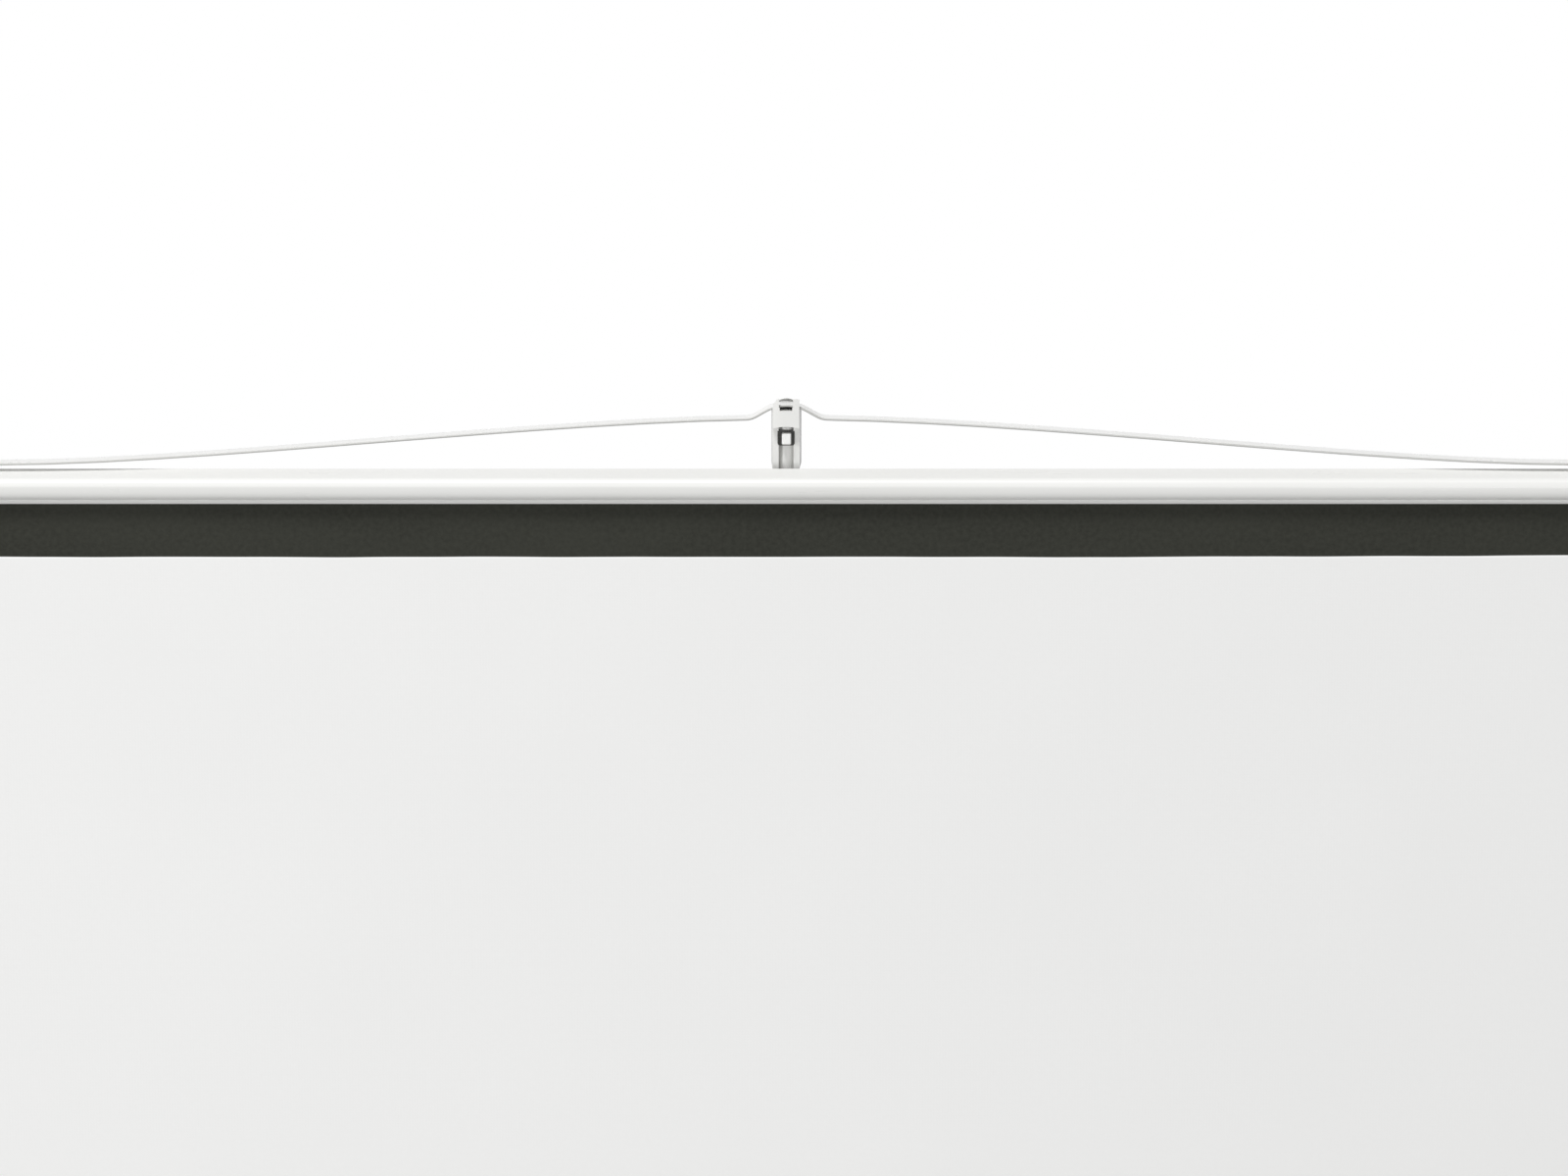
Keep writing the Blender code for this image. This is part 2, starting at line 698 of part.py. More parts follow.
def make_leg(number, direction, side):
    angle = math.radians(direction)
    pivot = radial(direction, LEG_PIVOT_RADIUS, 0, LEG_PIVOT_HEIGHT)
    body = f"leg_{number}_body"
    add_body(body, pivot, (0, -LEG_SPLAY, angle))
    end = LEG_LENGTH - LEG_END_INSET
    leg = put_local(f"leg_{number}", rod(LEG_HALF_WIDTH, end - LEG_START, SMALL_ROUND,
                                         flat_radius=LEG_HALF_THICKNESS),
                    body, (0, 0, -(end + LEG_START) / 2), "white_paint")
    neck_length = LEG_START + LAP
    neck = put_local(f"leg_{number}_neck", block((2 * TONGUE_RADIUS, TONGUE_THICKNESS, neck_length)),
                     body, (0, 0, -neck_length / 2))
    eye = put_local(f"leg_{number}_eye", rod(TONGUE_RADIUS, TONGUE_THICKNESS, SMALL_ROUND),
                    body, (0, 0, 0), turn=ALONG_Y)
    join(leg, neck)
    join(leg, eye)
    bore = rod(LEG_PIN_RADIUS + SEAT_GAP, TONGUE_THICKNESS + PAST, SMALL_ROUND)
    hole = put_local(f"leg_{number}_hole", bore, body, (0, 0, 0), turn=ALONG_Y)
    cut(leg, hole)
    make_foot(number, body)
    make_strut(number, direction, side, leg, body)


def make_foot(number, body):
    upright = (0, LEG_SPLAY, 0)
    foot = put_local(f"foot_{number}", rod(FOOT_RADIUS, FOOT_HEIGHT, ROUND, bevel=FOOT_EDGE), body,
                     foot_middle(), "rubber", upright)
    length = 2 * FOOT_HEIGHT
    socket = put_local(f"foot_{number}_socket",
                       rod(LEG_HALF_WIDTH + SEAT_GAP, length, SMALL_ROUND,
                           flat_radius=LEG_HALF_THICKNESS + SEAT_GAP),
                       body, (0, 0, -(LEG_LENGTH - LEG_END_INSET + SEAT_GAP) + length / 2))
    cut(foot, socket)


def foot_middle():
    """The foot stands upright about the leg's end, in the leg's own leaning frame."""
    lift = FOOT_HEIGHT / 2 - FOOT_LEVEL
    return (lift * math.sin(LEG_SPLAY), 0, -LEG_LENGTH + lift * math.cos(LEG_SPLAY))


def make_strut(number, direction, side, leg, leg_body):
    reach = LEG_PIVOT_RADIUS + STRUT_LENGTH * math.sin(LEG_SPLAY)
    level = LEG_PIVOT_HEIGHT - STRUT_LENGTH * math.cos(LEG_SPLAY)
    body = f"strut_{number}_body"
    add_body(body, radial(direction, reach, 0, level), (0, LEG_SPLAY, math.radians(direction)))
    inner = strut_inner_face()
    middle = side * (inner + STRUT_THICKNESS / 2)
    radius = STRUT_WIDTH / 2
    outline = corner_arc((0, 0), radius, 0, 180, 8)
    outline += corner_arc((0, -STRUT_LENGTH), radius, 180, 360, 8)
    strut = put_local(f"strut_{number}", flat_plate(outline, STRUT_THICKNESS), body,
                      (0, middle, 0), "white_paint", FLAT_XZ)
    hole = put_local(f"strut_{number}_hole", rod(RIVET_RADIUS + SEAT_GAP, 2 * PAST, SMALL_ROUND), body,
                     (0, 0, 0), turn=ALONG_Y)
    cut(strut, hole)
    root = LEG_HALF_THICKNESS / 2
    seat = inner + STRUT_THICKNESS + SEAT_GAP
    cap = seat + RIVET_HEAD_HEIGHT
    rivet = put_local(f"strut_rivet_{number}", profile_mesh(
        [(0, cap), (2 * RIVET_RADIUS, cap), (2 * RIVET_RADIUS, seat), (RIVET_RADIUS, seat),
         (RIVET_RADIUS, root + SEAT_GAP), (0, root + SEAT_GAP)], False),
        leg_body, (0, 0, -STRUT_LENGTH), "steel", (-side * math.pi / 2, 0, 0))
    turn_profile(rivet, SMALL_ROUND)
    socket = put_local(f"strut_rivet_{number}_socket", rod(RIVET_RADIUS + SEAT_GAP, 2 * PAST, SMALL_ROUND),
                       leg_body, (0, side * (root + PAST), -STRUT_LENGTH), turn=ALONG_Y)
    cut(leg, socket)


def make_strut_collar():
    add_body("strut_collar_body", (0, 0, STRUT_COLLAR_LEVEL))
    half = STRUT_COLLAR_HEIGHT / 2
    bore = OUTER_TUBE_RADIUS + RUNNING_GAP
    collar = put("strut_collar", profile_mesh(ring_profile(STRUT_COLLAR_RADIUS, bore, -half, half), True),
                 "strut_collar_body", (0, 0, STRUT_COLLAR_LEVEL), "white_plastic")
    turn_profile(collar)
    near = strut_inner_face() + STRUT_THICKNESS + SEAT_GAP
    # The lugs spring from the middle of the collar's wall
    start = math.sqrt(((bore + STRUT_COLLAR_RADIUS) / 2) ** 2 - near ** 2)
    end = LEG_PIVOT_RADIUS + STRUT_LUG_HALF_HEIGHT
    for number, (direction, side) in enumerate(zip(LEG_DIRECTIONS, STRUT_SIDES), 1):
        lug = put(f"strut_lug_{number}",
                  block((end - start, STRUT_LUG_THICKNESS, 2 * STRUT_LUG_HALF_HEIGHT), SMALL_EDGE),
                  "strut_collar_body",
                  radial(direction, (end + start) / 2, side * (near + STRUT_LUG_THICKNESS / 2),
                         STRUT_COLLAR_LEVEL),
                  turn=(0, 0, math.radians(direction)))
        join(collar, lug)


# Extension tube and hook

def make_extension():
    top = BATTEN_TOP + HOOK_TUBE_TOP
    bottom = COLUMN_TOP - TUBE_OVERLAP
    bore = INNER_TUBE_RADIUS - INNER_TUBE_WALL
    add_body("extension_body", (0, 0, bottom))
    tube = put("extension_tube", profile_mesh(ring_profile(INNER_TUBE_RADIUS, bore, bottom, top), True),
               "extension_body", (0, 0, 0), "white_paint")
    turn_profile(tube)
    level = BATTEN_TOP + BUTTON_LEVEL
    window_half = BUTTON_WIDTH / 2 + BUTTON_GAP_BESIDE
    window_rise = BUTTON_HEIGHT / 2 + BUTTON_GAP_ABOVE
    mesh, middle = span_block((-window_half, -INNER_TUBE_RADIUS - PAST, level - window_rise),
                              (window_half, -INNER_TUBE_RADIUS / 2, level + window_rise))
    cut(tube, put("button_window", mesh, "extension_body", middle))
    glide_radius = OUTER_TUBE_RADIUS - OUTER_TUBE_WALL - RUNNING_GAP
    fit = bore - SEAT_GAP
    seat = bottom - SEAT_GAP
    glide = put("extension_glide", profile_mesh(
        [(0, seat + PLUG_DEPTH), (fit, seat + PLUG_DEPTH), (fit, seat), (glide_radius, seat),
         (glide_radius, seat - PLUG_DEPTH), (0, seat - PLUG_DEPTH)], False),
        "extension_body", (0, 0, 0), "grey_plastic")
    turn_profile(glide)
    make_hook_head(tube)
    make_button(level, bore)


def hook_outline():
    """Front view of the hook head, heights above the batten's top: its left horn is cut off at a slant."""
    half = HOOK_WIDTH / 2
    outline = corner_arc((half - HOOK_CORNER, HOOK_CORNER - HOOK_DROP), HOOK_CORNER, -90, 0)
    outline += [(half, HOOK_TOP - SMALL_EDGE), (half - SMALL_EDGE, HOOK_TOP)]
    outline += [(HOOK_CHAMFER_WIDTH - half, HOOK_TOP), (-half, HOOK_TOP - HOOK_CHAMFER_HEIGHT)]
    outline += corner_arc((HOOK_CORNER - half, HOOK_CORNER - HOOK_DROP), HOOK_CORNER, 180, 270)
    return outline


def cut_hook_saddle(head):
    """The saddle that the bow lies in, open at the top and at both sides, with a round lip behind it."""
    half = HOOK_WIDTH / 2 + LAP
    above = HOOK_TOP + PAST
    saddle = flat_plate(bow_line(-SEAT_GAP, limit=half) + [(half, above), (-half, above)],
                        BOW_DEPTH + 2 * SEAT_GAP)
    cut(head, put("hook_saddle", saddle, "extension_body", (0, BOW_MIDDLE, BATTEN_TOP), turn=FLAT_XZ))
    crown = bow_underside(0) + BOW_THICKNESS + HOOK_LIP_RISE - HOOK_LIP_RADIUS
    reach = HOOK_LIP_RADIUS - SMALL_EDGE
    side = math.degrees(math.acos(reach / HOOK_LIP_RADIUS))
    lip = corner_arc((0, crown), HOOK_LIP_RADIUS, side, 180 - side, 2 * CORNER_STEPS)
    floor = bow_line(-SEAT_GAP, limit=half)
    trim = [floor[-1], (half, above), (-half, above), floor[0]] + list(reversed(lip))
    depth = HOOK_BACK_WALL + INNER_TUBE_RADIUS + PAST - BOW_REAR
    cut(head, put("hook_lip_trim", flat_plate(trim, depth), "extension_body",
                  (0, BOW_REAR + depth / 2, BATTEN_TOP), turn=FLAT_XZ))


def cut_hook_front(head):
    """The front steps back below the cap plate, and a notch in the plate shows the bow's front edge."""
    half = HOOK_WIDTH / 2 + LAP
    low = -HOOK_DROP - PAST
    right = (half, HOOK_CAP_BOTTOM)
    left = (-half, HOOK_CAP_BOTTOM)
    arch = bent(right, (0, HOOK_CAP_BOTTOM + 2 * HOOK_CAP_ARCH), left, 2 * CORNER_STEPS)
    depth = HOOK_CAP_OVERHANG + PAST
    step = flat_plate([(-half, low), (half, low), right] + arch, depth)
    cut(head, put("hook_step", step, "extension_body",
                  (0, HOOK_FRONT + HOOK_CAP_OVERHANG - depth / 2, BATTEN_TOP), turn=FLAT_XZ))
    mesh, place = span_block((-HOOK_NOTCH_WIDTH / 2, HOOK_FRONT - PAST, BATTEN_TOP + HOOK_NOTCH_BOTTOM),
                             (HOOK_NOTCH_WIDTH / 2, HOOK_FRONT + HOOK_NOTCH_DEPTH,
                              BATTEN_TOP + HOOK_TOP + PAST))
    cut(head, put("hook_notch", mesh, "extension_body", place))


def make_hook_head(tube):
    back = INNER_TUBE_RADIUS + HOOK_BACK_WALL
    depth = back - HOOK_FRONT
    middle = (back + HOOK_FRONT) / 2
    head = put("hook_head", flat_plate(hook_outline(), depth), "extension_body",
               (0, middle, BATTEN_TOP), "white_plastic", FLAT_XZ)
    cut_hook_saddle(head)
    cut_hook_front(head)
    bore_top = BATTEN_TOP + HOOK_TUBE_TOP + SEAT_GAP
    bore_low = BATTEN_TOP - HOOK_DROP - PAST
    bore = put("hook_bore", rod(INNER_TUBE_RADIUS + SEAT_GAP, bore_top - bore_low), "extension_body",
               (0, 0, (bore_top + bore_low) / 2))
    cut(head, bore)
    mesh, place = span_block((-HOOK_CHANNEL / 2, HOOK_FRONT - PAST, bore_low),
                             (HOOK_CHANNEL / 2, 0, BATTEN_TOP + HOOK_CAP_BOTTOM))
    cut(head, put("hook_channel", mesh, "extension_body", place))
    start = INNER_TUBE_RADIUS / 2
    hole = put("hook_rivet_hole", rod(RIVET_RADIUS + SEAT_GAP, back - start + PAST, SMALL_ROUND),
               "extension_body", (0, (back + PAST + start) / 2, BATTEN_TOP + HOOK_RIVET_LEVEL),
               turn=ALONG_Y)
    cut(head, hole)
    cut(tube, hole)
    seat = back + SEAT_GAP
    cap = seat + RIVET_HEAD_HEIGHT
    rivet = put("hook_rivet", profile_mesh(
        [(0, cap), (2 * RIVET_RADIUS, cap), (2 * RIVET_RADIUS, seat), (RIVET_RADIUS, seat),
         (RIVET_RADIUS, start + SEAT_GAP), (0, start + SEAT_GAP)], False),
        "extension_body", (0, 0, BATTEN_TOP + HOOK_RIVET_LEVEL), "steel", ALONG_Y)
    turn_profile(rivet, SMALL_ROUND)


def make_button(level, bore):
    """The square spring button, held in the tube by its flange and pushed out by its coil."""
    add_body("hook_button_body", (0, BUTTON_FRONT, level))
    flange_half = BUTTON_WIDTH / 2 + BUTTON_GAP_BESIDE + SEAT_GAP
    flange_front = -math.sqrt((bore - SEAT_GAP) ** 2 - flange_half ** 2)
    flange_back = flange_front + BUTTON_FLANGE_THICKNESS
    mesh, middle = span_block((-BUTTON_WIDTH / 2, BUTTON_FRONT, level - BUTTON_HEIGHT / 2),
                              (BUTTON_WIDTH / 2, flange_back, level + BUTTON_HEIGHT / 2), BUTTON_EDGE)
    button = put("hook_button", mesh, "hook_button_body", middle, "white_plastic")
    rise = BUTTON_HEIGHT / 2 + BUTTON_GAP_ABOVE + RUNNING_GAP
    mesh, middle = span_block((-flange_half, flange_front, level - rise),
                              (flange_half, flange_back, level + rise))
    join(button, put("button_flange", mesh, "hook_button_body", middle))
    start = flange_back + SEAT_GAP + BUTTON_SPRING_WIRE / 2
    end = bore - SEAT_GAP - BUTTON_SPRING_WIRE - (bore - math.sqrt(bore ** 2 - BUTTON_SPRING_RADIUS ** 2))
    coil = helix(BUTTON_SPRING_RADIUS, (end - start) / BUTTON_SPRING_TURNS, BUTTON_SPRING_TURNS)
    put("hook_button_spring", wire(coil, BUTTON_SPRING_WIRE / 2, 1), "extension_body",
        (0, start, level), "steel", ALONG_Y)


# Slider and case

def make_slider():
    add_body("slider_body", (0, 0, PIVOT_HEIGHT))
    half = SLIDER_HEIGHT / 2
    mesh, middle = span_block((-SLIDER_WIDTH / 2, SLIDER_FRONT, PIVOT_HEIGHT - half),
                              (SLIDER_WIDTH / 2, SLIDER_BACK, PIVOT_HEIGHT + half), SLIDER_EDGE)
    slider = put("case_slider", mesh, "slider_body", middle, "white_plastic")
    bore = put("slider_bore", rod(OUTER_TUBE_RADIUS + RUNNING_GAP, 2 * SLIDER_HEIGHT), "slider_body",
               (0, 0, PIVOT_HEIGHT))
    cut(slider, bore)
    depth = SLIDER_FRONT + PIVOT_DEPTH
    socket = put("pivot_socket", rod(PIVOT_RADIUS + SEAT_GAP, 2 * PAST), "slider_body",
                 (0, depth - PAST, PIVOT_HEIGHT), turn=ALONG_Y)
    cut(slider, socket)
    knob_hole("slider_knob_hole", "slider_body", slider, PIVOT_HEIGHT, OUTER_TUBE_RADIUS / 2,
              SLIDER_BACK + PAST)
    head_end = CASE_BACK + RUNNING_GAP
    head_start = head_end + PIVOT_HEAD_THICKNESS
    shank_end = depth - SEAT_GAP
    pin = put("case_pivot_pin", profile_mesh(
        [(0, shank_end), (PIVOT_RADIUS, shank_end), (PIVOT_RADIUS, head_start),
         (PIVOT_HEAD_RADIUS, head_start), (PIVOT_HEAD_RADIUS, head_end), (0, head_end)], False),
        "slider_body", (0, 0, PIVOT_HEIGHT), "steel", ALONG_Y)
    turn_profile(pin)


def make_swivel_plate():
    front = SLIDER_FRONT - FACE_GAP
    back = CASE_BACK + SEAT_GAP
    mesh, middle = span_block((-SWIVEL_WIDTH / 2, back, PIVOT_HEIGHT - SWIVEL_HEIGHT / 2),
                              (SWIVEL_WIDTH / 2, front, PIVOT_HEIGHT + SWIVEL_HEIGHT / 2), SMALL_EDGE)
    plate = put("swivel_plate", mesh, "case_body", middle, "white_paint")
    through = put("swivel_hole", rod(PIVOT_RADIUS + SEAT_GAP, 2 * PAST), "case_body",
                  (0, middle.y, PIVOT_HEIGHT), turn=ALONG_Y)
    cut(plate, through)
    pocket_top = CASE_BACK + RUNNING_GAP + PIVOT_HEAD_THICKNESS + SEAT_GAP
    pocket = put("swivel_pocket", rod(PIVOT_HEAD_RADIUS + RUNNING_GAP, PAST), "case_body",
                 (0, pocket_top - PAST / 2, PIVOT_HEIGHT), turn=ALONG_Y)
    cut(plate, pocket)
    return plate, front


def make_case_shell():
    outline = split_at_top(case_outline(0), case_outline(CASE_WALL), FABRIC_PLANE, CASE_SLOT,
                           CASE_TOP, CASE_TOP - CASE_WALL)
    return put("case_shell", flat_plate(shifted(outline, CASE_MIDDLE, PIVOT_HEIGHT), CASE_LENGTH),
               "case_body", (0, CASE_MIDDLE, PIVOT_HEIGHT), "white_paint", FLAT_YZ)


def make_case_screws(plate, shell, front):
    for number, x in enumerate((-SWIVEL_SCREW_SPACING / 2, SWIVEL_SCREW_SPACING / 2), 1):
        head_top = front - SEAT_GAP
        head_low = head_top - CAP_SCREW_HEAD_HEIGHT
        tip = CASE_BACK - CASE_WALL
        screw = put(f"swivel_screw_{number}", profile_mesh(
            [(0, head_top), (CAP_SCREW_HEAD, head_top), (CAP_SCREW_HEAD, head_low),
             (CAP_SCREW_RADIUS, head_low), (CAP_SCREW_RADIUS, tip), (0, tip)], False),
            "case_body", (x, 0, PIVOT_HEIGHT), "steel", ALONG_Y)
        turn_profile(screw, SMALL_ROUND)
        hole = put(f"swivel_screw_{number}_hole", rod(CAP_SCREW_RADIUS + SEAT_GAP, 2 * PAST, SMALL_ROUND),
                   "case_body", (x, CASE_BACK, PIVOT_HEIGHT), turn=ALONG_Y)
        sink = put(f"swivel_screw_{number}_sink", rod(CAP_SCREW_HEAD + SEAT_GAP, PAST, SMALL_ROUND),
                   "case_body", (x, head_low - SEAT_GAP + PAST / 2, PIVOT_HEIGHT), turn=ALONG_Y)
        cut(plate, hole)
        cut(plate, sink)
        cut(shell, hole)


def make_case_cap(name, side):
    start = CASE_END + SEAT_GAP
    outline = shifted(case_outline(0), CASE_MIDDLE, PIVOT_HEIGHT)
    cap = put(name, flat_plate(outline, CASE_CAP_THICKNESS), "case_body",
              (side * (start + CASE_CAP_THICKNESS / 2), CASE_MIDDLE, PIVOT_HEIGHT), "white_plastic",
              FLAT_YZ)
    inner = shifted(case_outline(CASE_WALL + SEAT_GAP), CASE_MIDDLE, PIVOT_HEIGHT)
    length = CASE_CAP_SPIGOT + LAP
    spigot = put(name + "_spigot", flat_plate(inner, length), "case_body",
                 (side * (start + LAP - length / 2), CASE_MIDDLE, PIVOT_HEIGHT), turn=FLAT_YZ)
    join(cap, spigot)
    socket_length = CASE_CAP_THICKNESS + CASE_CAP_SPIGOT
    socket = put(name + "_socket", rod(AXLE_RADIUS + SEAT_GAP, socket_length, SMALL_ROUND), "case_body",
                 (side * (axle_end() + SEAT_GAP - socket_length / 2), ROLLER_AXIS, PIVOT_HEIGHT),
                 turn=ALONG_X)
    cut(cap, socket)
    return cap


def axle_end():
    """How far out the axles reach into the case caps."""
    return CASE_END + CASE_CAP_THICKNESS / 2


def make_axles():
    inner = ROLLER_END - PLUG_SPIGOT - LAP
    length = axle_end() - inner
    put("gudgeon_pin", rod(AXLE_RADIUS, length, SMALL_ROUND, bevel=AXLE_EDGE), "case_body",
        (-(axle_end() + inner) / 2, ROLLER_AXIS, PIVOT_HEIGHT), "steel", ALONG_X)
    put("spring_rod", rod(AXLE_RADIUS, SPRING_ROD_LENGTH, SMALL_ROUND, bevel=AXLE_EDGE), "case_body",
        (axle_end() - SPRING_ROD_LENGTH / 2, ROLLER_AXIS, PIVOT_HEIGHT), "steel", ALONG_X)


def make_carry_handle():
    seat = CASE_BOTTOM - SEAT_GAP
    half = GRIP_SPAN / 2
    drop = GRIP_DROP - GRIP_RADIUS - GRIP_FOOT_THICKNESS / 2
    bend = GRIP_BEND
    route = corner_arc((half - bend, -drop + bend), bend, 0, -90)
    right = [(half, 0)] + route
    path = right + [(-x, z) for x, z in reversed(right)]
    points = [(x, 0, z) for x, z in path]
    grip = put("carry_handle", wire(points, GRIP_RADIUS, 2), "case_body",
               (0, CASE_MIDDLE, seat - GRIP_FOOT_THICKNESS / 2), "grey_plastic")
    for side in (-1, 1):
        foot = put(f"carry_handle_foot_{'left' if side < 0 else 'right'}",
                   block((2 * GRIP_FOOT, GRIP_FOOT, GRIP_FOOT_THICKNESS), SMALL_EDGE), "case_body",
                   (side * half, CASE_MIDDLE, seat - GRIP_FOOT_THICKNESS / 2))
        join(grip, foot)


def make_case():
    add_body("case_body", (0, SLIDER_FRONT, PIVOT_HEIGHT))
    plate, front = make_swivel_plate()
    shell = make_case_shell()
    make_case_screws(plate, shell, front)
    make_case_cap("case_cap_left", -1)
    make_case_cap("case_cap_right", 1)
    make_axles()
    make_carry_handle()


# Roller

def make_roller():
    add_body("roller_body", (0, ROLLER_AXIS, PIVOT_HEIGHT))
    axis = (0, ROLLER_AXIS, PIVOT_HEIGHT)
    bore = ROLLER_RADIUS - ROLLER_WALL
    tube = put("roller_tube", profile_mesh(ring_profile(ROLLER_RADIUS, bore, -ROLLER_END, ROLLER_END), True),
               "roller_body", axis, "steel", ALONG_X)
    turn_profile(tube)
    roll_half = FABRIC_WIDTH / 2
    wraps = put("fabric_roll", profile_mesh(
        ring_profile(ROLL_RADIUS, ROLLER_RADIUS + SEAT_GAP, -roll_half, roll_half), True),
        "roller_body", axis, "fabric", ALONG_X)
    turn_profile(wraps)
    fit = bore - SEAT_GAP
    hole = AXLE_RADIUS + SEAT_GAP
    face = ROLLER_END + SEAT_GAP
    for name, side in (("roller_plug_left", -1), ("roller_plug_right", 1)):
        outline = [(ROLLER_RADIUS, face + PLUG_FLANGE), (ROLLER_RADIUS, face), (fit, face),
                   (fit, face - PLUG_SPIGOT), (hole, face - PLUG_SPIGOT), (hole, face + PLUG_FLANGE)]
        plug = put(name, profile_mesh(outline, True), "roller_body", axis, "grey_plastic",
                   (0, side * math.pi / 2, 0))
        turn_profile(plug)
    coil_start = face - PLUG_SPIGOT - SEAT_GAP - SPRING_WIRE / 2
    length = SPRING_PITCH * SPRING_TURNS
    put("roller_spring", wire(helix(SPRING_COIL_RADIUS, -SPRING_PITCH, SPRING_TURNS), SPRING_WIRE / 2, 1),
        "roller_body", (coil_start, ROLLER_AXIS, PIVOT_HEIGHT), "steel", ALONG_X)
    anchor_face = coil_start - length - SPRING_WIRE / 2 - SEAT_GAP
    anchor = put("spring_anchor", profile_mesh(
        ring_profile(fit, hole, anchor_face - ANCHOR_THICKNESS, anchor_face), True),
        "roller_body", axis, "grey_plastic", ALONG_X)
    turn_profile(anchor)


# Batten, bow and fabric

def make_batten():
    add_body("batten_body", (0, FABRIC_PLANE, BATTEN_BOTTOM))
    level = BATTEN_BOTTOM + BATTEN_HEIGHT / 2
    floor = BATTEN_BOTTOM + BATTEN_WALL
    slot_back = FABRIC_PLANE + BATTEN_SLOT / 2
    slot_front = FABRIC_PLANE - BATTEN_SLOT / 2
    outline = [(slot_back, BATTEN_BOTTOM)] + batten_outline(0) + [(slot_front, BATTEN_BOTTOM)]
    outline += [(slot_front, floor)] + list(reversed(batten_outline(BATTEN_WALL))) + [(slot_back, floor)]
    put("batten", flat_plate(shifted(outline, FABRIC_PLANE, level), BATTEN_LENGTH), "batten_body",
        (0, FABRIC_PLANE, level), "white_paint", FLAT_YZ)
    for name, side in (("batten_cap_left", -1), ("batten_cap_right", 1)):
        start = BATTEN_END + SEAT_GAP
        face = shifted(batten_outline(0), FABRIC_PLANE, level)
        cap = put(name, flat_plate(face, BATTEN_CAP_THICKNESS), "batten_body",
                  (side * (start + BATTEN_CAP_THICKNESS / 2), FABRIC_PLANE, level),
                  "white_plastic", FLAT_YZ)
        inside = shifted(batten_outline(BATTEN_WALL + SEAT_GAP), FABRIC_PLANE, level)
        length = BATTEN_CAP_SPIGOT + LAP
        spigot = put(name + "_spigot", flat_plate(inside, length), "batten_body",
                     (side * (start + LAP - length / 2), FABRIC_PLANE, level), turn=FLAT_YZ)
        join(cap, spigot)


def make_fabric():
    half = FABRIC_THICKNESS / 2
    bead = HEM_BEAD / 2
    low = PIVOT_HEIGHT
    bead_low = BATTEN_BOTTOM + BATTEN_WALL + SEAT_GAP
    bead_high = bead_low + HEM_BEAD
    outline = [(-half, low), (half, low), (half, bead_low), (bead, bead_low), (bead, bead_high),
               (-bead, bead_high), (-bead, bead_low), (-half, bead_low)]
    middle = (low + bead_high) / 2
    put("screen_fabric", flat_plate(shifted(outline, 0, middle), FABRIC_WIDTH), "batten_body",
        (0, FABRIC_PLANE, middle), "fabric", FLAT_YZ)


def make_bow():
    under = bow_line(0)
    over = bow_line(BOW_THICKNESS)
    strip = flat_plate(under + list(reversed(over)), BOW_DEPTH)
    for vert in strip.vertices:
        vert.co.z += bow_forward(vert.co.x)
    put("handle_bow", strip, "batten_body", (0, BOW_MIDDLE, BATTEN_TOP), "white_paint", FLAT_XZ)
    outline = clip_outline()
    low = BATTEN_TOP + BOW_LIFT - SEAT_GAP
    high = BATTEN_TOP + BOW_LIFT + BOW_THICKNESS + SEAT_GAP
    for name, side in (("bow_clip_left", -1), ("bow_clip_right", 1)):
        middle = side * (BOW_CLIP_START + CLIP_LENGTH / 2)
        clip = put(name, flat_plate(shifted(outline, FABRIC_PLANE, BATTEN_TOP), CLIP_LENGTH), "batten_body",
                   (middle, FABRIC_PLANE, BATTEN_TOP), "white_plastic", FLAT_YZ)
        stop = side * (BOW_CLIP_START + BOW_END_OVERLAP + SEAT_GAP)
        mouth = side * (BOW_CLIP_START - PAST)
        mesh, place = span_block((min(stop, mouth), BOW_FRONT - BOW_FORWARD - SEAT_GAP, low),
                                 (max(stop, mouth), BOW_REAR - BOW_FORWARD + SEAT_GAP, high))
        cut(clip, put(name + "_mouth", mesh, "batten_body", place))


def clip_outline():
    """A clip's section: it sits on the batten's sloping top, and its skirt hangs down the back."""
    front = BOW_FRONT - BOW_FORWARD - CLIP_CHEEK
    rear = BOW_REAR - BOW_FORWARD + CLIP_CHEEK
    top = BATTEN_TOP + BOW_LIFT + BOW_THICKNESS + CLIP_ROOF
    back = FABRIC_PLANE + BATTEN_DEPTH / 2
    crest = back - BATTEN_BACK_CORNER
    seat = BATTEN_TOP + SEAT_GAP * math.hypot(1, BATTEN_SLOPE)
    inner = back + SEAT_GAP
    outer = inner + CLIP_SKIRT_THICKNESS
    foot = BATTEN_TOP - CLIP_SKIRT
    shelf = BATTEN_TOP + CLIP_SHELF
    return [(front, top), (front, seat - (crest - front) * BATTEN_SLOPE), (crest, seat), (inner, seat),
            (inner, foot), (outer, foot), (outer, shelf), (rear, shelf), (rear, top)]


def main():
    clear_scene()
    make_collections()
    add_body("stand", (0, 0, 0))
    make_outer_column()
    make_top_collar()
    make_hub()
    for number, (direction, side) in enumerate(zip(LEG_DIRECTIONS, STRUT_SIDES), 1):
        make_leg(number, direction, side)
    make_strut_collar()
    make_extension()
    add_body("column_knob_body", (0, KNOB_BOSS_REACH, column_knob_level()))
    make_knob("column_knob", "column_knob_body", column_knob_level(),
              INNER_TUBE_RADIUS + RUNNING_GAP, KNOB_BOSS_REACH)
    make_slider()
    add_body("slider_knob_body", (0, SLIDER_BACK, PIVOT_HEIGHT))
    make_knob("slider_knob", "slider_knob_body", PIVOT_HEIGHT,
              OUTER_TUBE_RADIUS + RUNNING_GAP, SLIDER_BACK)
    make_case()
    make_roller()
    make_batten()
    make_fabric()
    make_bow()


main()
